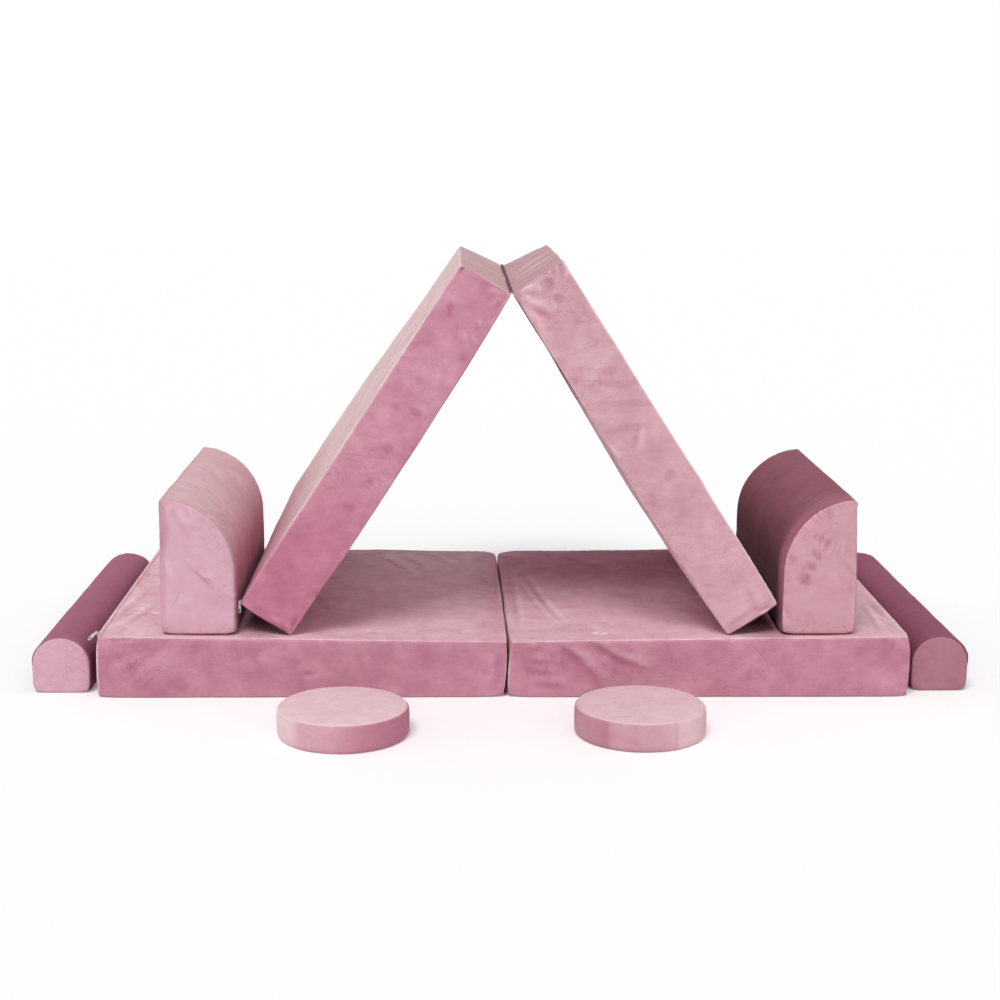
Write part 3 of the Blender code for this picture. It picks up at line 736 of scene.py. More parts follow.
def fabric_hinge(name, body, matrix, half_angle, colour, shift=0.0, drop=(0.0, 0.0)):
    """The strip of velvet that joins two halves of a mat, round their hinge line along Y."""
    half = MAT_DEPTH / 2 - HINGE_END
    turns = np.linspace(-half_angle, half_angle, 17)
    side = np.stack([np.sin(turns), np.cos(turns)], 1)
    ring = np.concatenate([HINGE_OUTER * side, HINGE_INNER * side[::-1]])
    stations = np.linspace(-half, half, 240)
    crumple = 1 + 0.05 * ripple(stations, HINGE_SEED, 0.006, 0.02)
    across, height = ring.T[:, None, :] * crumple[:, None]
    points, faces = ringed(np.stack([across, np.repeat(stations[:, None], len(ring), 1), height], -1))
    world = placed(points, matrix)
    back = back_share(world)
    world[:, 0] += shift * (1 - back)
    world[:, 2] -= mixed(*drop, back)
    tint = colour * (1 + 0.06 * field(points, 0.02, 5))[:, None]
    item = make_mesh(f"{name}_strip", world, outward(world, faces), tint, LOOKS["velvet"])
    belongs(item, body, name)


# Arm blocks and bolsters

def arc(centre, radius, start, end, steps):
    """Points along an arc, from one angle to another."""
    turns = np.linspace(start, end, steps + 1)
    return np.stack([centre[0] + radius * np.cos(turns), centre[1] + radius * np.sin(turns)], 1)


def straight(start, end, step, breaks=()):
    """Points from start to end, without the last, with rows at the given distances from the start."""
    start, end = np.array(start, float), np.array(end, float)
    length = np.linalg.norm(end - start)
    marks = sorted({0.0, *breaks})
    marks.append(length)
    spots = []
    for first, last in zip(marks, marks[1:]):
        count = max(int(math.ceil((last - first) / step)), 1)
        spots += list(np.linspace(first, last, count + 1)[:-1])
    return start + (end - start) * (np.array(spots) / length)[:, None]


def zip_breaks(place):
    """Rows of points on both rims of a zip's recess."""
    from_middle = np.array((ZIP_HALF - ZIP_RIM, ZIP_HALF, ZIP_HALF + 2 * ZIP_RIM))
    return np.concatenate([place - from_middle[::-1], place + from_middle])


def arm_outline():
    """An arm's section, counterclockwise from its inner foot: foot, back, arc and inner side."""
    round_foot = ARM_RADIUS
    round_top = 0.009
    spring = ARM_HEIGHT - ARM_WIDTH
    rise = math.sqrt((ARM_WIDTH - round_top) ** 2 - round_top ** 2)
    crown = np.array((round_top, spring + rise))
    meet = math.atan2(rise, round_top)
    pieces = [
        arc((ARM_WIDTH - round_foot, round_foot), round_foot, 0, -math.pi / 2, 5)[:-1],
        straight((ARM_WIDTH - round_foot, 0), (round_foot, 0), 0.012),
        arc((round_foot, round_foot), round_foot, -math.pi / 2, -math.pi, 5)[:-1],
        straight((0, round_foot), (0, crown[1]), 0.009, zip_breaks(ARM_ZIP_HEIGHT) - round_foot),
        arc(crown, round_top, math.pi, meet, 6)[:-1],
        arc((0, spring), ARM_WIDTH, meet, 0, 34)[:-1],
        straight((ARM_WIDTH, spring), (ARM_WIDTH, round_foot), 0.009),
    ]
    return np.concatenate(pieces)


def bolster_outline():
    """A bolster's section, from its right foot: foot, left side, half-round top and right side."""
    half, foot = BOLSTER_WIDTH / 2, 0.007
    spring = BOLSTER_HEIGHT - BOLSTER_RISE
    turns = np.linspace(math.pi, 0, 41)
    top = np.stack([half * np.cos(turns), spring + BOLSTER_RISE * np.sin(turns)], 1)
    return np.concatenate([
        arc((half - foot, foot), foot, 0, -math.pi / 2, 6)[:-1],
        straight((half - foot, 0), (foot - half, 0), 0.011),
        arc((foot - half, foot), foot, -math.pi / 2, -math.pi, 6)[:-1],
        straight((-half, foot), (-half, spring), 0.007, zip_breaks(BOLSTER_ZIP_HEIGHT) - foot),
        top[:-1],
        straight((half, spring), (half, foot), 0.007),
    ])


def outline_frame(outline):
    """An outline's outward normals and the distance along it of each point."""
    ahead, behind = np.roll(outline, -1, 0), np.roll(outline, 1, 0)
    run = ahead - behind
    normal = np.stack([-run[:, 1], run[:, 0]], 1) / np.linalg.norm(run, axis=1)[:, None]
    along = np.concatenate([[0], np.cumsum(np.linalg.norm(np.diff(outline, axis=0), axis=1))])
    return normal, along


# The step between a block's rings of points, how far round its end edge its seam lies, and its ends' rings
BLOCK_STEP = 0.0055
CAP_TURN = 1.15
CAP_SHARES = (0.97, 0.9, 0.8, 0.68, 0.55, 0.42, 0.30, 0.20, 0.13, 0.08, 0.045, 0.02)
# How far its ends stand out, how deep and wide their seam's groove is, and how far its foot's corners pull in
CAP_CROWN, CAP_GROOVE, CAP_GROOVE_WIDE, FOOT_PULL = 0.003, 0.0008, 0.0013, 0.004
# How much shorter than the cover its core is, the core's edge radius, and the step between its rings
CORE_SHORTER, CORE_RADIUS, CORE_STEP = 0.016, 0.002, 0.08


def block(outline, length, radius, step, push_of):
    """A block with this section along Y and crowned, puckered end panels.

    push_of(whether on an end panel, outline points, distance along the outline, y, distance from the seam,
    side) says how far out each point moves, and its colour.
    """
    normal, along = outline_frame(outline)
    centre = outline.mean(0)
    n = len(outline)
    half = length / 2
    # Rings of points: side, share of the way to the panel's middle, turn round its edge, and y if on the wrap
    end = [(share, 0.0) for share in CAP_SHARES] + [(0.0, turn) for turn in np.linspace(0, math.pi / 2, 9)]
    near = NEAR[1:] + radius
    first, last = -half + near, half - near[::-1]
    inner = np.linspace(first[-1], last[0], int((last[0] - first[-1]) / step) + 1)[1:-1]
    rings = [(-1, share, turn, None) for share, turn in end]
    rings += [(-1 if y < 0 else 1, 0.0, math.pi / 2, y) for y in np.concatenate([first, inner, last])]
    rings += [(1, share, turn, None) for share, turn in end[::-1]]
    points, colours = [], []
    for side, share, turn, y in rings:
        edge = outline - normal * radius * (1 - math.sin(turn))
        flat = edge + (centre - edge) * share
        depth = np.linalg.norm(edge - flat, axis=1) + radius * abs(turn - CAP_TURN)
        if y is None:
            y = side * (half - radius * (1 - math.cos(turn)))
        else:
            depth = depth + half - radius - abs(y)
        level = np.full(n, y)
        over, down = normal.T * math.sin(turn)
        out = np.stack([over, np.full(n, side * math.cos(turn)), down], 1)
        push, colour = push_of(turn < CAP_TURN, flat, along, y, depth, side)
        points.append(np.stack([flat[:, 0], level, flat[:, 1]], 1) + out * push[:, None])
        colours.append(colour)
    points = np.concatenate(points)
    return closed(points, np.concatenate(colours), n, points[:n].mean(0), points[-n:].mean(0))


def block_dress(looks, outline, length, zip_height, back_x, seed):
    """A function that says how far out each point of a block's cover moves, and its colour."""
    reach = length / 2 - LONG_ZIP_END
    middle, wide = (outline[:, 0].max() + outline[:, 0].min()) / 2, np.ptp(outline[:, 0])

    def push_of(cap, flat, along, y, depth, side):
        x, z = flat.T
        level = np.full(len(flat), y)
        space = np.stack([x, level, z], 1)
        at_front = side == looks["front_side"]
        look = looks[("front" if at_front else "rear") if cap else "wrap"]
        wave = ripple(along, seed * 10 + (side > 0), 0.009, 0.022)
        wave = wave * np.exp(-depth / look["reach"]) * smooth(depth, 0.0005, 0.003)
        plane = flat if cap else np.stack([along, level], 1)
        push, tone = worn(plane, space, look, seed * 10 + (side > 0) + 2 * cap)
        push += look["pucker"] * wave - CAP_GROOVE * np.exp(-(depth / CAP_GROOVE_WIDE) ** 2)
        if cap:
            push += CAP_CROWN * smooth(depth, 0, 0.05)
        push = push * smooth(z, 0.001, 0.006)
        # The corners of the foot are pulled in
        foot = np.hypot(np.abs(x - middle) - wide / 2, z)
        push = push - FOOT_PULL * np.exp(-(foot / 0.011) ** 2) * np.exp(-(depth / 0.009) ** 2)
        in_zip = (np.abs(x - back_x) < 0.002) * (not cap)
        in_zip = in_zip * (1 - smooth(np.abs(z - zip_height), ZIP_HALF - ZIP_RIM, ZIP_HALF))
        in_zip = in_zip * (1 - smooth(abs(y), reach, reach + 0.002))
        push = push * (1 - in_zip) - ZIP_DEEP * in_zip
        # Painted shade and highlight at the seam, painted light and shade on the puckers, and painted shade
        # along the seam by the look's rim
        tone = tone * seam_light_and_shade(depth) * (1 + (0.07 + look["rim"]) * wave)
        tone = tone * (1 - look["rim"] * np.exp(-(depth / 0.005) ** 2))
        if "swell" in looks and not cap:
            left, right = looks["swell"]
            push = push + left * smooth(-x, 0.01, 0.04) * smooth(z, 0.045, 0.07)
            push = push + right * smooth(x, 0.01, 0.04) * smooth(z, 0.0, 0.04)
        colour = look["paint"](space, seed)
        if "hem" in looks and at_front and not cap:
            hem, full, gone = looks["hem"]
            colour = mixed(colour, hem, (1 - smooth(depth, full, gone))[:, None])
        return push, toned(colour, tone)

    return push_of


# Camera, light and floor

# The dome's strength on the sofa, the floor's own glow, its half size and its gap below
DOME, FLOOR_GLOW = 0.42, 0.16
FLOOR_HALF, FLOOR_GAP = 14.0, 0.0005


def camera():
    """The photograph's camera."""
    cos, sin = math.cos, math.sin
    forward = Vector((sin(CAM_YAW) * cos(CAM_PITCH), cos(CAM_YAW) * cos(CAM_PITCH), -sin(CAM_PITCH)))
    right = Vector((cos(CAM_YAW), -sin(CAM_YAW), 0))
    up = right.cross(forward)
    x = right * cos(CAM_ROLL) + up * sin(CAM_ROLL)
    y = up * cos(CAM_ROLL) - right * sin(CAM_ROLL)
    data = bpy.data.cameras.new("camera")
    data.sensor_width = SENSOR
    data.lens = SENSOR * LENS_PX / IMAGE_PX
    item = added("camera", data)
    item.matrix_world = Matrix((x, y, -forward)).transposed().to_4x4()
    item.location = CAM_PLACE
    bpy.context.scene.camera = item


def lamp(name, place, width, strength):
    """A distant lamp as wide as a soft box, in degrees, so that the floor is lit evenly."""
    data = bpy.data.lights.new(name, "SUN")
    data.angle = math.radians(width)
    data.energy = strength
    item = added(name, data)
    item.location = place
    item.rotation_euler = (-Vector(place)).to_track_quat("-Z", "Y").to_euler()


def seen_directly(tree):
    """1 for what the camera sees, directly or in gloss or glass."""
    rays = tree.nodes.new("ShaderNodeLightPath").outputs
    seen = maths(tree, "MAXIMUM", rays["Is Camera Ray"], rays["Is Glossy Ray"])
    return maths(tree, "MAXIMUM", seen, rays["Is Transmission Ray"])


def studio():
    """A white backdrop and floor, an even dome, and two large soft lamps."""
    world = bpy.data.worlds.new("world")
    bpy.context.scene.world = world
    world.use_nodes = True
    tree = world.node_tree
    back = tree.nodes["Background"]
    preset(back, {"Color": (1, 1, 1, 1)})
    tree.links.new(ranged(tree, seen_directly(tree), 0, 1, DOME, 1.0), back.inputs["Strength"])

    made, tree, shader, _ = nodes_of("pale_floor")
    preset(shader, {"Base Color": (0.93, 0.93, 0.93, 1), "Roughness": 1.0, "Specular IOR Level": 0.0,
                    "Emission Color": (1, 1, 1, 1)})
    glow = ranged(tree, seen_directly(tree), 0, 1, 0.0, FLOOR_GLOW)
    tree.links.new(glow, shader.inputs["Emission Strength"])
    corners = [(x * FLOOR_HALF, y * FLOOR_HALF, 0) for x, y in ((-1, -1), (1, -1), (1, 1), (-1, 1))]
    floor = make_mesh("floor", corners, [(0, 1, 2, 3)], None, made)
    floor.location = (0, 0, -FLOOR_GAP)

    lamp("key", (-0.20, -0.58, 1.0), 26, 1.55)
    lamp("fill", (0.5, -3.4, 1.5), 70, 0.45)


camera()


# Marks on the panels

# By the panels' own two lengths. Spots: place, half sizes (mm), tilt (degrees), brightness (%).
# Folds: start, end (mm), width, depth (tenths of a mm), tone (%) of the painted shade in the valley and the
# painted highlight on the lip, bow (mm).
TENT_LEFT_SPOTS = (
    (283, 68, 8, 7, 64, 84), (272, 33, 12, 8, 93, 82), (143, 16, 8, 7, 103, 86), (79, 82, 8, 7, 115, 81),
    (91, 76, 6, 5, 96, 86), (422, 35, 6, 6, 84, 84), (341, 39, 20, 16, 114, 109), (355, 39, 9, 9, 89, 86),
    (482, 41, 11, 11, 113, 91), (451, -2, 7, 7, 125, 89), (198, 46, 18, 18, 86, 108),
    (650, -3, 13, 13, 110, 89), (548, -19, 12, 11, 97, 92), (75, 21, 13, 4, 139, 112),
    (104, 14, 12, 4, 130, 111), (111, 29, 14, 4, 136, 109), (18, 32, 8, 7, 97, 91),
    (384, -2, 7, 7, 108, 89), (333, -1, 7, 6, 114, 84), (246, 84, 9, 9, 121, 92),
)
TENT_LEFT_FOLDS = (
    (-3, 9, 10, 61, 63, 16, 16, 0), (4, 6, 29, 35, 54, 13, 14, 0), (9, 5, 43, 15, 54, 13, 13, 0),
    (-4, 9, -7, 47, 54, 12, 11, 0), (-3, 100, 22, 105, 45, 13, 13, 0), (4, 104, 25, 117, 45, 10, 10, 0),
    (750, 8, 736, 30, 54, 16, 16, 0), (745, 1, 714, 9, 54, 16, 13, 0), (751, 14, 743, 55, 54, 12, 11, 0),
    (587, 15, 534, 1, 108, 10, 8, 5),
)
TENT_RIGHT_SPOTS = (
    (434, 67, 11, 11, 28, 86), (23, 63, 13, 13, 26, 83), (54, 67, 9, 9, 178, 82), (56, 25, 8, 7, 17, 91),
    (104, 95, 12, 5, 4, 88), (115, 102, 9, 4, 167, 88), (104, 75, 9, 7, 166, 92), (219, 83, 29, 8, 57, 92),
    (239, 75, 48, 8, 57, 91), (274, 62, 59, 7, 57, 91), (317, 47, 50, 7, 66, 90), (407, 39, 12, 11, 19, 92),
    (451, 17, 13, 6, 166, 92),
)
TENT_RIGHT_FOLDS = (
    (2, 3, 78, 43, 72, 20, 17, 5), (6, 0, 99, -4, 72, 17, 15, -4), (-2, 3, 37, 52, 63, 16, 15, 0),
    (13, 0, 70, -10, 54, 13, 14, 0), (-6, 4, -2, 39, 54, 10, 10, 0), (-3, 101, 30, 94, 40, 14, 20, 0),
    (1, 106, 27, 102, 40, 14, 20, 0), (-6, 90, 18, 85, 40, 13, 17, 0), (-7, 74, 10, 71, 36, 10, 14, 0),
    (324, 69, 360, 34, 54, 12, 12, 0), (321, -8, 358, -3, 54, 16, 17, 0), (732, -5, 731, 85, 54, 10, 10, 0),
    (683, 77, 752, 68, 63, 12, 10, 0), (742, 95, 740, 71, 40, 16, 17, 0), (751, 96, 756, 74, 36, 13, 17, 0),
)
BASE_LEFT_FRONT_SPOTS = (
    (707, 47, 19, 16, 30, 113), (688, 93, 38, 4, 177, 90), (486, 69, 30, 8, 156, 110),
    (430, 91, 29, 8, 161, 108), (601, 24, 23, 11, 5, 87), (670, 24, 18, 9, 6, 90),
    (335, 102, 9, 9, 28, 108), (305, 64, 14, 14, 33, 108), (360, 45, 10, 5, 22, 86), (38, 48, 7, 7, 52, 86),
    (268, 76, 9, 9, 41, 90), (577, 86, 19, 9, 166, 92), (532, 39, 18, 9, 6, 92), (390, 60, 14, 9, 164, 90),
    (75, 89, 8, 7, 14, 92), (650, 55, 90, 60, 0, 93),
)
BASE_LEFT_FRONT_FOLDS = (
    (721, 15, 603, 110, 108, 11, 8, 5), (734, 62, 649, 91, 72, 7, 8, 0), (519, 49, 394, 102, 90, 11, 8, 4),
    (376, 41, 339, 49, 45, 10, 9, 0), (735, 99, 667, 108, 45, 7, 8, 0), (12, 100, 23, 14, 72, 10, 8, 0),
)
BASE_RIGHT_FRONT_SPOTS = (
    (52, 55, 24, 14, 164, 90), (96, 74, 17, 13, 157, 92), (73, 27, 23, 11, 166, 90),
    (176, 81, 24, 7, 157, 113), (224, 61, 28, 6, 158, 111), (199, 54, 25, 7, 158, 89),
    (375, 74, 16, 13, 154, 92), (464, 40, 20, 14, 158, 90), (329, 62, 15, 11, 158, 92),
)
BASE_RIGHT_FRONT_FOLDS = (
    (150, 104, 265, 44, 90, 42, 23, 5), (87, 104, 182, 14, 90, 25, 15, -5), (28, 71, 80, 64, 54, 13, 10, 0),
    (40, 49, 102, 41, 54, 13, 10, 0), (47, 25, 114, 20, 54, 13, 10, 0), (102, 90, 148, 64, 54, 12, 10, 0),
    (36, 87, 65, 94, 54, 12, 8, 0), (186, 98, 250, 79, 72, 13, 10, 0), (360, 109, 439, 64, 108, 10, 6, 0),
    (693, 102, 741, 71, 72, 10, 8, 0),
)
# The sixth spot on the left base's top is painted light where light reaches in under the tent, and the
# seventh painted shade under the tent's foot at the front
BASE_LEFT_TOP_SPOTS = (
    (356, 104, 74, 9, 105, 86), (251, 317, 26, 5, 136, 92), (73, 289, 50, 14, 159, 105),
    (287, -43, 48, 11, 118, 96), (44, -122, 56, 9, 107, 95), (200, -110, 220, 260, 0, 138),
    (447, 250, 40, 120, 0, 72), (10, 0, 45, 330, 0, 86),
)
BASE_LEFT_TOP_FOLDS = (
    (265, -337, 182, -139, 72, 21, 13, 0), (298, -336, 220, -249, 63, 16, 11, 0),
    (223, -337, 159, -212, 72, 16, 10, 0), (152, -337, 92, -212, 72, 13, 8, 0),
    (272, 314, 229, 321, 40, 13, 13, 0), (262, 335, 236, 293, 36, 10, 11, 0),
    (744, 292, 707, 17, 63, 18, 11, 4), (722, 321, 673, 129, 63, 16, 11, 4),
    (720, 175, 651, 220, 54, 13, 10, 0), (742, 0, 729, -138, 54, 13, 10, 0),
    (-2, -288, 18, 82, 72, 16, 10, 0), (239, 129, 160, 168, 54, 9, 8, 0),
)
# The second spot on the right base's top is painted shade where the tent shades its back, the third painted
# shade between the tent's foot and the arm, and the fourth painted light beside the foot
BASE_RIGHT_TOP_SPOTS = (
    (72, -205, 58, 14, 129, 105), (230, 260, 220, 190, 0, 64), (495, -200, 50, 170, 0, 58),
    (345, -60, 55, 120, 0, 122),
)
BASE_RIGHT_TOP_FOLDS = (
    (47, 175, 115, -279, 58, 17, 14, 4), (32, 103, 83, -220, 47, 12, 10, 0),
    (24, -98, 73, -113, 40, 13, 14, 0), (147, -329, 201, -336, 40, 14, 15, 4),
    (154, -356, 192, -307, 36, 12, 14, 0), (169, -363, 206, -315, 36, 12, 14, 0),
    (298, -329, 329, -322, 36, 10, 12, 0), (140, 318, 257, 131, 90, 13, 8, 0),
    (731, -49, 745, -350, 63, 26, 15, 4), (762, 35, 770, -191, 54, 18, 12, 0),
    (720, -221, 739, -336, 47, 16, 14, 0), (709, -129, 702, -336, 54, 16, 12, 0),
    (22, 212, 23, -307, 63, 16, 10, 0), (426, 131, 356, 270, 72, 10, 8, 0),
)
ARM_LEFT_SPOTS = (
    (52, 198, 13, 13, 136, 92), (76, 116, 16, 7, 124, 91), (90, 99, 10, 6, 129, 87),
    (18, 122, 19, 5, 104, 109), (5, 205, 12, 45, 3, 84), (3, 110, 8, 105, 0, 88),
    (90, 150, 26, 50, 20, 104),
)
ARM_LEFT_FOLDS = (
    (46, 137, 92, 92, 38, 8, 8, 0), (11, 65, 66, 60, 40, 11, 9, 0), (23, 230, 51, 196, 54, 10, 8, 0),
    (78, 103, 100, 105, 36, 11, 12, 0), (16, 224, 34, 235, 43, 12, 9, 0), (52, 232, 59, 219, 43, 12, 9, 0),
)
ARM_RIGHT_SPOTS = (
    (76, 150, 8, 7, 35, 73), (85, 130, 9, 8, 40, 73), (98, 105, 14, 11, 42, 74), (100, 126, 5, 4, 45, 86),
    (60, 175, 24, 7, 29, 80), (56, 231, 14, 7, 55, 83), (35, 156, 9, 5, 62, 86), (121, 144, 9, 7, 48, 83),
    (16, 130, 13, 6, 59, 92), (13, 88, 5, 5, 45, 83), (91, 207, 13, 9, 47, 108),
)
ARM_RIGHT_FOLDS = (
    (72, 246, 62, 228, 36, 14, 16, 0), (61, 248, 51, 228, 36, 14, 16, 0), (50, 250, 42, 231, 36, 13, 14, 0),
    (84, 239, 72, 220, 36, 12, 13, 0), (37, 248, 33, 233, 36, 11, 10, 0), (102, 119, 86, 98, 36, 12, 13, 2),
    (110, 103, 91, 96, 36, 10, 10, 0), (84, 190, 37, 162, 54, 12, 9, 0), (131, 54, 122, 24, 43, 11, 9, 0),
    (16, 179, 24, 149, 43, 10, 8, 0),
)

# Gathers across the ridge's end panels, from the valley to their outer edges
RIDGE_FOLDS = (
    (5, 2, 80, 106, 120, 24, 28, 4), (-45, 2, 10, 108, 90, 10, 12, -4), (-95, 2, -72, 108, 130, 28, 32, 3),
    (-160, 4, -150, 70, 120, 8, 8, 0), (95, 20, 150, 104, 120, 12, 16, 3), (235, 4, 270, 104, 160, 8, 9, 0),
    (-245, 30, -262, 104, 170, 8, 8, 4),
)
RIDGE_FOLDS_LEFT = (
    (35, 4, 43, 100, 150, 10, 8, 3), (187, 30, 214, 104, 130, 10, 9, -3),
    (-120, 4, -105, 100, 160, 6, 5, 0), (-230, 40, -215, 100, 150, 6, 5, 0),
)

# Brushed streaks over the arms' arcs: distance round the section, place along the arm, as above
ARC_LEFT_SPOTS = (
    (455, -100, 45, 5, -3, 109), (470, -262, 50, 5, -4, 111), (430, 95, 22, 5, 0, 107),
    (415, -165, 12, 5, 0, 107), (520, -120, 30, 6, 0, 104), (500, 30, 60, 60, 0, 97),
)
ARC_RIGHT_SPOTS = (
    (450, 236, 45, 5, 0, 128), (480, 214, 40, 5, 2, 122), (505, 252, 35, 4, -3, 118),
    (440, 196, 30, 4, 3, 118), (520, 225, 22, 4, 0, 122), (465, 176, 25, 4, -2, 112),
    (560, 240, 25, 5, 0, 110), (420, 222, 20, 5, 0, 120), (495, 190, 14, 3, 4, 116),
    (535, 205, 16, 3, -4, 114), (555, -40, 18, 45, 0, 112), (470, -120, 30, 60, 0, 93),
    (610, 60, 40, 90, 0, 90),
)


# Colours of the panels

# TOP is paler and greyer than FRONT by painted sheen and light from above; PALE, on the tent's outer faces,
# is painted sheen
TOP = srgb(230, 189, 199)
FRONT = srgb(196, 136, 154)
LEG_LEFT = srgb(205, 144, 163)
LEG_LEFT_FOOT = srgb(196, 125, 148)
LEG_RIGHT = srgb(212, 165, 176)
RIDGE = srgb(203, 164, 170)
RIDGE_LEFT = srgb(210, 177, 178)
PALE = srgb(236, 206, 207)
SIDE = srgb(180, 110, 133)
UNDER = srgb(188, 126, 146)


# A panel's puckers, their reach, its unevenness and clouds, its spots and folds, how its colour fades to
# others along it (from, to, colour), how much a zip's tape shows beside it, and how strong its seam's painted
# highlight and shade are
PANEL = {"pucker": 0.0006, "reach": 0.009, "rough": 0.0007, "cloud": 0.12,
         "spots": (), "folds": (), "fades": (), "tape": 0.0, "rim": 1.0}


def plain(colour, **changes):
    """A mat's panel of this colour."""
    return {**PANEL, "colour": colour, **changes}


def half_mat(name, matrix, thick, panels, seed, warp):
    """A half of a mat, with its panels in the order of PANELS."""
    mat_cover(name, matrix, thick, panels, seed, warp)
    mat_core(name, matrix, thick, warp)
    zip_closure(name, mat_zip_place(matrix, thick), MAT_DEPTH / 2 - MAT_ZIP_END, MAT_TAPE_HALF, seed)


seam = np.array((0, MAT_DEPTH / 2, 0))
left_frame = module_matrix(seam, (-1, 0, 0))
right_frame = module_matrix(seam, (1, 0, 0))
base = (BASE_HINGE_THICK, BASE_THICK)
flat_under = plain(UNDER, pucker=0.0, rough=0.0)
end_panel = plain(SIDE)
# The tent's foot panels face down onto the base's tops and are painted dark with shade
shaded_foot_panel = plain(srgb(112, 58, 76))
# The left halves are turned round, so their +Y side faces the front
half_mat("base_left", left_frame, base, [
    plain(TOP), end_panel, plain(FRONT),
    plain(FRONT, spots=BASE_LEFT_FRONT_SPOTS, folds=BASE_LEFT_FRONT_FOLDS,
          # A painted highlight, in the tape's colour, along its front arris at the far end
          fades=((MAT_LENGTH - 0.0056, MAT_LENGTH - 0.0040, TAPE),)),
    flat_under, plain(TOP, cloud=0.07, spots=BASE_LEFT_TOP_SPOTS, folds=BASE_LEFT_TOP_FOLDS, tape=1.0),
], 3, {"seam": 0.001})
half_mat("base_right", right_frame, base, [
    plain(TOP), end_panel,
    plain(FRONT, spots=BASE_RIGHT_FRONT_SPOTS, folds=BASE_RIGHT_FRONT_FOLDS), plain(FRONT),
    flat_under, plain(TOP, cloud=0.07, spots=BASE_RIGHT_TOP_SPOTS, folds=BASE_RIGHT_TOP_FOLDS),
], 4, {"seam": 0.005, "end": 0.0035})

lean, rise = math.cos(TENT_ANGLE), math.sin(TENT_ANGLE)
ridge_place = (TENT_OFFSET, TENT_SETBACK + MAT_DEPTH / 2, TENT_RISE)
tent_left_frame = module_matrix(ridge_place, (-lean, 0, -rise), (-rise, 0, lean))
tent_right_frame = module_matrix(ridge_place, (lean, 0, -rise), (rise, 0, lean))
tent = (TENT_THICK, TENT_THICK)
half_mat("tent_left", tent_left_frame, tent, [
    plain(RIDGE_LEFT, cloud=0.06, folds=RIDGE_FOLDS_LEFT, rim=0.3), shaded_foot_panel, plain(LEG_LEFT),
    plain(LEG_LEFT, spots=TENT_LEFT_SPOTS, folds=TENT_LEFT_FOLDS, fades=((0.35, 0.65, LEG_LEFT_FOOT),)),
    plain(srgb(216, 170, 186)),
    # The outer face's painted sheen fades to a darker pink toward the foot
    plain(PALE, cloud=0.05, fades=((0.45, 0.74, srgb(200, 140, 160)),), rim=0.4),
], 5, {"ridge": (0.002, -0.004, 0.002, -0.015), "sag": 0.005, "belly": 0.004, "swell": 0.011,
       "square": (((-1, 1, -1), 0.0), ((-1, -1, -1), 0.0), ((1, 1, -1), 0.1), ((1, 1, 1), 0.6))})
half_mat("tent_right", tent_right_frame, tent, [
    plain(RIDGE, cloud=0.06, folds=RIDGE_FOLDS, rim=0.4), shaded_foot_panel,
    plain(LEG_RIGHT, cloud=0.08, spots=TENT_RIGHT_SPOTS, folds=TENT_RIGHT_FOLDS), plain(LEG_RIGHT),
    # Its underside fades to painted shade toward the ridge
    plain(srgb(228, 190, 200), fades=((0.30, 0.14, srgb(140, 88, 104)),)), plain(PALE),
], 6, {"ridge": (-0.004, 0.003, 0.004, -0.012), "belly": 0.011,
       "square": (((-1, -1, -1), 0.0), ((-1, 1, -1), 0.0), ((1, -1, -1), 0.1), ((1, -1, 1), 0.5))})
fabric_hinge("base_fabric_hinge", "base_left", left_frame, math.radians(85), SIDE, shift=0.003)
# The tent's hinge strip is painted dark with the shade in the ridge's valley
fabric_hinge("tent_fabric_hinge", "tent_ridge", module_matrix(ridge_place, (1, 0, 0)), math.radians(115),
             srgb(112, 70, 82), drop=(0.0004, 0.0008))


# The arms and bolsters

def plain_paint(colour):
    """The same colour all over."""
    return lambda space, seed: colour


def arc_paint(light, dark, tall, flat=None, low=0.05):
    """The wrap goes from painted light at its top to painted shade at its foot, with streaks of brushed
    pile across it.
    """
    def paint(space, seed):
        streak = 1 + 0.03 * field(space, 0.03, seed + 40, (1, 1.6, 0.4))
        colour = mixed(dark, light, smooth(space[:, 2], low, tall)[:, None])
        if flat is not None:
            # The flat side away from the tent
            colour = mixed(colour, flat, 1 - smooth(space[:, 0], 0.003, 0.012)[:, None])
        return colour * streak[:, None]
    return paint


def block_look(paint, pucker, reach, rough, spots=(), folds=(), rim=0.0):
    """An end panel or the wrap of an arm or a bolster, as PANEL with a function for its colour."""
    return {"paint": paint, "pucker": pucker, "reach": reach, "rough": rough, "cloud": 0.05,
            "spots": spots, "folds": folds, "rim": rim}


def padded_block(name, matrix, outline, size, looks, seed, slump=None):
    """An arm's or a bolster's cover, core and zip. size: length, edge radius, zip height and zip side."""
    length, radius, zip_height, zip_side = size
    dress = block_dress(looks, outline, length, zip_height, zip_side, seed)
    points, faces, colours = block(outline, length, radius, BLOCK_STEP, dress)
    cover(name, placed(slumped(points, slump, looks["front_side"]), matrix), faces, colours, 0.45)
    block_core(name, outline, length, matrix, slump, looks["front_side"])
    place = flat_zip_place(matrix, zip_side, zip_height)
    zip_closure(name, place, length / 2 - LONG_ZIP_END, TAPE_HALF, seed)


def slumped(points, slump, front_side):
    """An arm's points as it slumps: its crown leans in, and its back end is lower, slimmer and shorter.

    slump: how far the crown leans, the back end sags, its foot narrows and it shortens, or None.
    """
    if not slump:
        return points
    lean, sag, slim, short = slump
    x, y, z = points.T
    back = np.clip(1 - front_side * y / (ARM_DEPTH / 2), 0, 2) / 2
    high = smooth(z, 0.06, ARM_HEIGHT)
    share = np.clip(x / ARM_WIDTH, 0, 1)
    to_end = smooth(-front_side * y, 0.268, ARM_DEPTH / 2)
    return np.stack([
        x + lean * high * (1 - share) - slim * back * share,
        y + front_side * short * to_end,
        z - sag * back * high,
    ], 1)


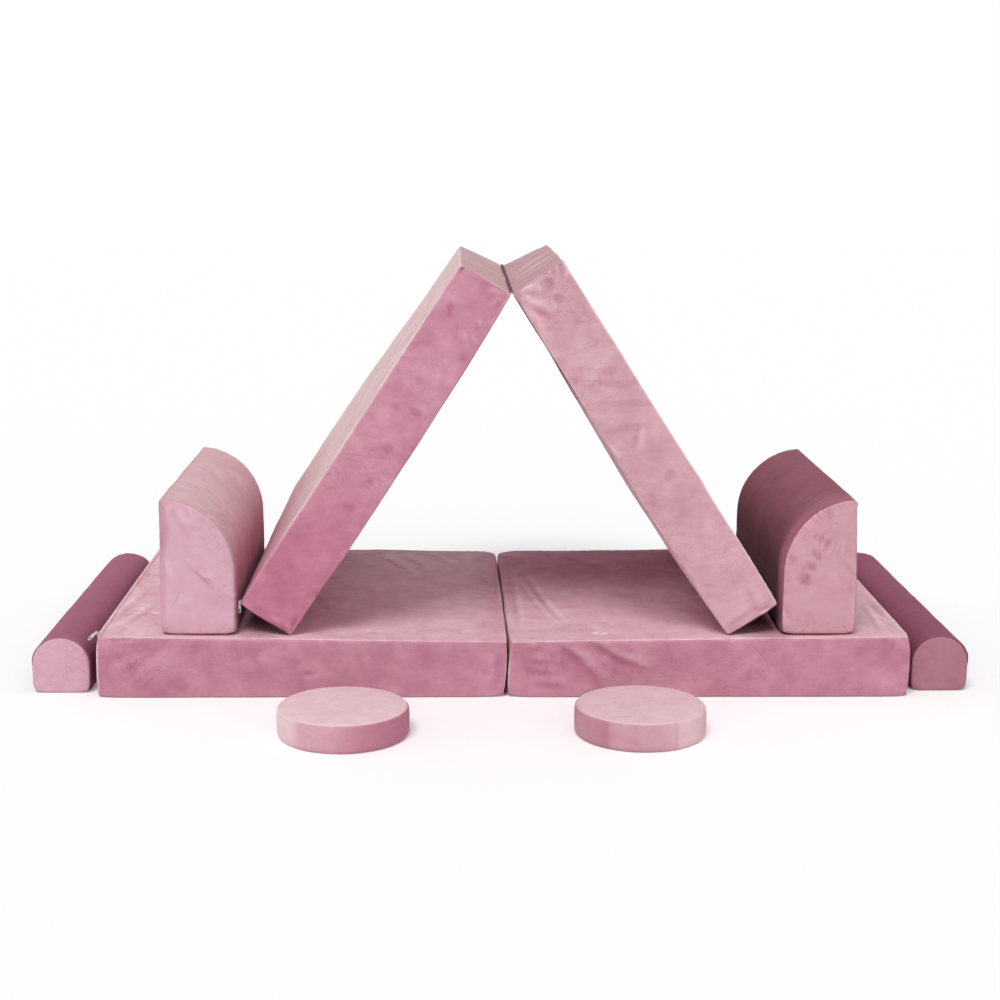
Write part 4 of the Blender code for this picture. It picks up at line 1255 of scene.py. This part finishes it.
def block_core(name, outline, length, matrix, slump, front_side):
    """The foam inside an arm or a bolster."""
    normal, _ = outline_frame(outline)
    inner = (outline - normal * CORE_INSET)[::2]

    def bare(cap, flat, along, y, depth, side):
        return np.zeros(len(flat)), np.ones((len(flat), 3))

    points, faces, _ = block(inner, length - CORE_SHORTER, CORE_RADIUS, CORE_STEP, bare)
    core(name, placed(slumped(points, slump, front_side), matrix), faces)


def arm(name, matrix, front_side, colours, spots, folds, streaks, slump, seed):
    """An arm block.

    colours: its end panels, the top of its arc in painted light, the arc's foot in painted shade and its flat
    side, then the hem beside its front seam (colour, how far it is full and where it is gone) and the height
    up to which the foot's painted shade holds.
    """
    cap, light, dark, flat, hem, low = colours
    looks = {
        "front_side": front_side,
        "hem": hem,
        "front": block_look(plain_paint(cap), 0.0010, 0.012, 0.0006, spots, folds, 0.06),
        "rear": block_look(plain_paint(cap), 0.0010, 0.012, 0.0006),
        "wrap": block_look(arc_paint(light, dark, ARM_HEIGHT, flat, low), 0.0011, 0.014, 0.0006, streaks),
    }
    size = (ARM_DEPTH, ARM_RADIUS, ARM_ZIP_HEIGHT, 0.0)
    padded_block(name, matrix, arm_outline(), size, looks, seed, slump)


def bolster(name, matrix, front_side, cap, light, dark, swell, seed):
    """A bolster. cap, light and dark: the colours of its ends, its top in painted light and its foot
    in painted shade.
    """
    end = block_look(plain_paint(cap), 0.0011, 0.010, 0.0004, rim=0.08)
    looks = {
        "swell": swell,
        "front_side": front_side,
        "front": end,
        "rear": end,
        "wrap": block_look(arc_paint(light, dark, BOLSTER_HEIGHT), 0.0010, 0.012, 0.0006),
    }
    size = (BOLSTER_LENGTH, BOLSTER_RADIUS, BOLSTER_ZIP_HEIGHT, -BOLSTER_WIDTH / 2)
    padded_block(name, matrix, bolster_outline(), size, looks, seed)


arm_middle = ARM_SETBACK + ARM_DEPTH / 2
arm("arm_left", module_matrix((ARM_LEFT_X, arm_middle, ARM_Z), (1, 0, 0)), -1,
    (srgb(218, 172, 187), srgb(220, 183, 189), srgb(198, 140, 152), srgb(204, 152, 166),
     (srgb(216, 174, 183), 0.005, 0.016), 0.03),
    ARM_LEFT_SPOTS, ARM_LEFT_FOLDS, ARC_LEFT_SPOTS, (0.002, 0.0015, 0.006, 0.010), 21)
arm("arm_right", module_matrix((ARM_RIGHT_X, arm_middle, ARM_Z), (-1, 0, 0)), 1,
    (srgb(209, 159, 170), srgb(143, 88, 101), srgb(74, 24, 33), srgb(150, 92, 110),
     (srgb(166, 103, 123), 0.022, 0.070), 0.10),
    ARM_RIGHT_SPOTS, ARM_RIGHT_FOLDS, ARC_RIGHT_SPOTS, (0.005, 0.004, 0.0, 0.010), 22)
cos, sin = math.cos(BOLSTER_YAW), math.sin(BOLSTER_YAW)
bolster("bolster_left", module_matrix((*BOLSTER_LEFT, 0), (cos, -sin, 0)), -1,
        srgb(217, 171, 186), srgb(166, 103, 124), srgb(138, 78, 99), (0.0018, 0.0018), 23)
bolster("bolster_right", module_matrix((*BOLSTER_RIGHT, 0), (-cos, -sin, 0)), 1,
        srgb(177, 122, 136), srgb(146, 84, 103), srgb(104, 50, 68), (0.0028, 0.0), 24)


# Stools

def stool_profile():
    """A stool's section from the middle of its foot to the middle of its top, with its normals."""
    round_edge, crown = 0.006, 0.003
    edge = STOOL_RADIUS - round_edge
    middle = STOOL_HEIGHT / 2
    foot = np.stack([np.linspace(0.012, edge, 12)[:-1], np.zeros(11)], 1)
    low = arc((edge, round_edge), round_edge, -math.pi / 2, 0, 6)[:-1]
    near_zip = np.array((ZIP_HALF - ZIP_RIM, ZIP_HALF, 0.006))
    levels = np.concatenate([(round_edge, 0.012), middle - near_zip[::-1], (middle,), middle + near_zip,
                             (0.039, STOOL_HEIGHT - round_edge)])
    wall = np.stack([STOOL_RADIUS + STOOL_BULGE * bulge((levels - middle) / middle, 2), levels], 1)[:-1]
    high = arc((edge, STOOL_HEIGHT - round_edge), round_edge, 0, math.pi / 2, 8)[:-1]
    from_edge = (0, 0.002, 0.004, 0.007, 0.011, 0.016, 0.023, 0.032, 0.043)
    radii = edge - np.concatenate([from_edge, np.linspace(0.055, edge - 0.006, 6)])
    top = np.stack([radii, STOOL_HEIGHT + crown * bulge(radii / edge)], 1)
    profile = np.concatenate([foot, low, wall, high, top])
    run = np.gradient(profile, axis=0)
    normal = np.stack([run[:, 1], -run[:, 0]], 1)
    normal /= np.linalg.norm(normal, axis=1)[:, None]
    return profile, normal


def revolved(profile, turns):
    """Rings of points from a profile turned round an upright axis."""
    radius, level = profile[:, 0][:, None], profile[:, 1][:, None]
    around = [radius * np.cos(turns), radius * np.sin(turns), np.repeat(level, len(turns), 1)]
    return np.stack(around, -1).reshape(-1, 3)


def stool_cover(profile, normal, colours, share_at, zip_turn, seed):
    """The points, faces and colours of a stool's cover, about its own axis."""
    top_colour, side_light, side_dark = colours
    count = 132
    turns = np.arange(count) * 2 * math.pi / count
    space, out = revolved(profile, turns), revolved(normal, turns)
    angle = np.tile(turns, len(profile))
    push = 0.0004 * field(space, 0.07, seed)
    reach, z = np.hypot(space[:, 0], space[:, 1]), space[:, 2]
    seam_inset = 0.0018
    for k, level in enumerate((STOOL_HEIGHT - seam_inset, seam_inset)):
        gap = np.hypot(reach - STOOL_RADIUS + seam_inset, z - level)
        wave = ripple(angle * STOOL_RADIUS, seed + k, 0.008, 0.019)
        push += 0.0007 * wave * np.exp(-gap / 0.008) * smooth(gap, 0.0005, 0.003)
        push -= 0.0008 * np.exp(-(gap / 0.0014) ** 2)
    from_zip = np.abs(signed(angle - math.pi / 2))
    in_zip = (np.abs(z - STOOL_HEIGHT / 2) < ZIP_HALF - ZIP_RIM / 2) & (reach > STOOL_RADIUS - 0.001)
    in_zip = in_zip * (1 - smooth(from_zip, zip_turn, zip_turn + 0.02))
    push = push * (1 - in_zip) - ZIP_DEEP * in_zip
    push *= smooth(z, 0.0, 0.004)
    points = space + out * push[:, None]
    tint = mixed(side_dark, side_light, share_at(signed(angle))[:, None])
    tint = mixed(tint, top_colour, smooth(z, STOOL_HEIGHT - 0.0025, STOOL_HEIGHT - 0.001)[:, None])
    middle = (0, 0, points[-count:, 2].mean() + 0.0001)
    return closed(points, tint, count, (0, 0, 0), middle)


def stool(name, place, colours, share_at, seed):
    """A stool. colours: its top, and its side where light and where dark. share_at: how light by angle."""
    profile, normal = stool_profile()
    matrix = module_matrix((*place, 0), (1, 0, 0))
    zip_turn = math.pi * STOOL_ZIP_SHARE
    points, faces, tint = stool_cover(profile, normal, colours, share_at, zip_turn, seed)
    cover(name, placed(points, matrix), faces, tint, 0.6)
    inner = (profile - normal * CORE_INSET)[::2]
    count = 48
    points = revolved(inner[inner[:, 0] > 0.004], np.arange(count) * 2 * math.pi / count)
    points, faces = ringed(points.reshape(-1, count, 3))
    core(name, placed(points, matrix), faces)
    zip_closure(name, round_zip_place(matrix), zip_turn * STOOL_RADIUS, TAPE_HALF, seed)


def lit_left(angle):
    """The left stool's side is brushed pale on its left."""
    turns = (-180, -152, -137, -127, -97, -83, -69, -43, 0, 90, 180)
    return np.interp(np.degrees(angle), turns, (1, 0.96, 0.80, 0.47, 0.31, 0.17, 0.06, 0.0, 0.05, 0.4, 1))


def lit_right(angle):
    """The right stool's side is brushed pale from its upright seam round to the right."""
    turns = (-180, -150, -140, -126, -120, -109, -98, -82, -72, -65, -62, -47, 30, 90, 180)
    shares = (0.45, 0.42, 0.38, 0.26, 0.47, 0.53, 0.47, 0.58, 0.66, 0.75, 0.94, 0.98, 0.9, 0.5, 0.45)
    seam_line = 0.25 * np.exp(-((angle - math.radians(-63)) / 0.014) ** 2)
    return np.interp(np.degrees(angle), turns, shares) - seam_line


stool("stool_left", STOOL_LEFT,
      (srgb(236, 204, 210), srgb(245, 213, 217), srgb(193, 126, 146)), lit_left, 31)
stool("stool_right", STOOL_RIGHT,
      (srgb(231, 196, 204), srgb(235, 197, 203), srgb(173, 98, 121)), lit_right, 32)


# What keeps its solid

for name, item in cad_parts.items():
    if name.endswith(("_slider", "_pull")):
        item.data.materials.clear()
        item.data.materials.append(LOOKS["zip_metal"])

studio()
bpy.context.scene.view_settings.view_transform = "Standard"
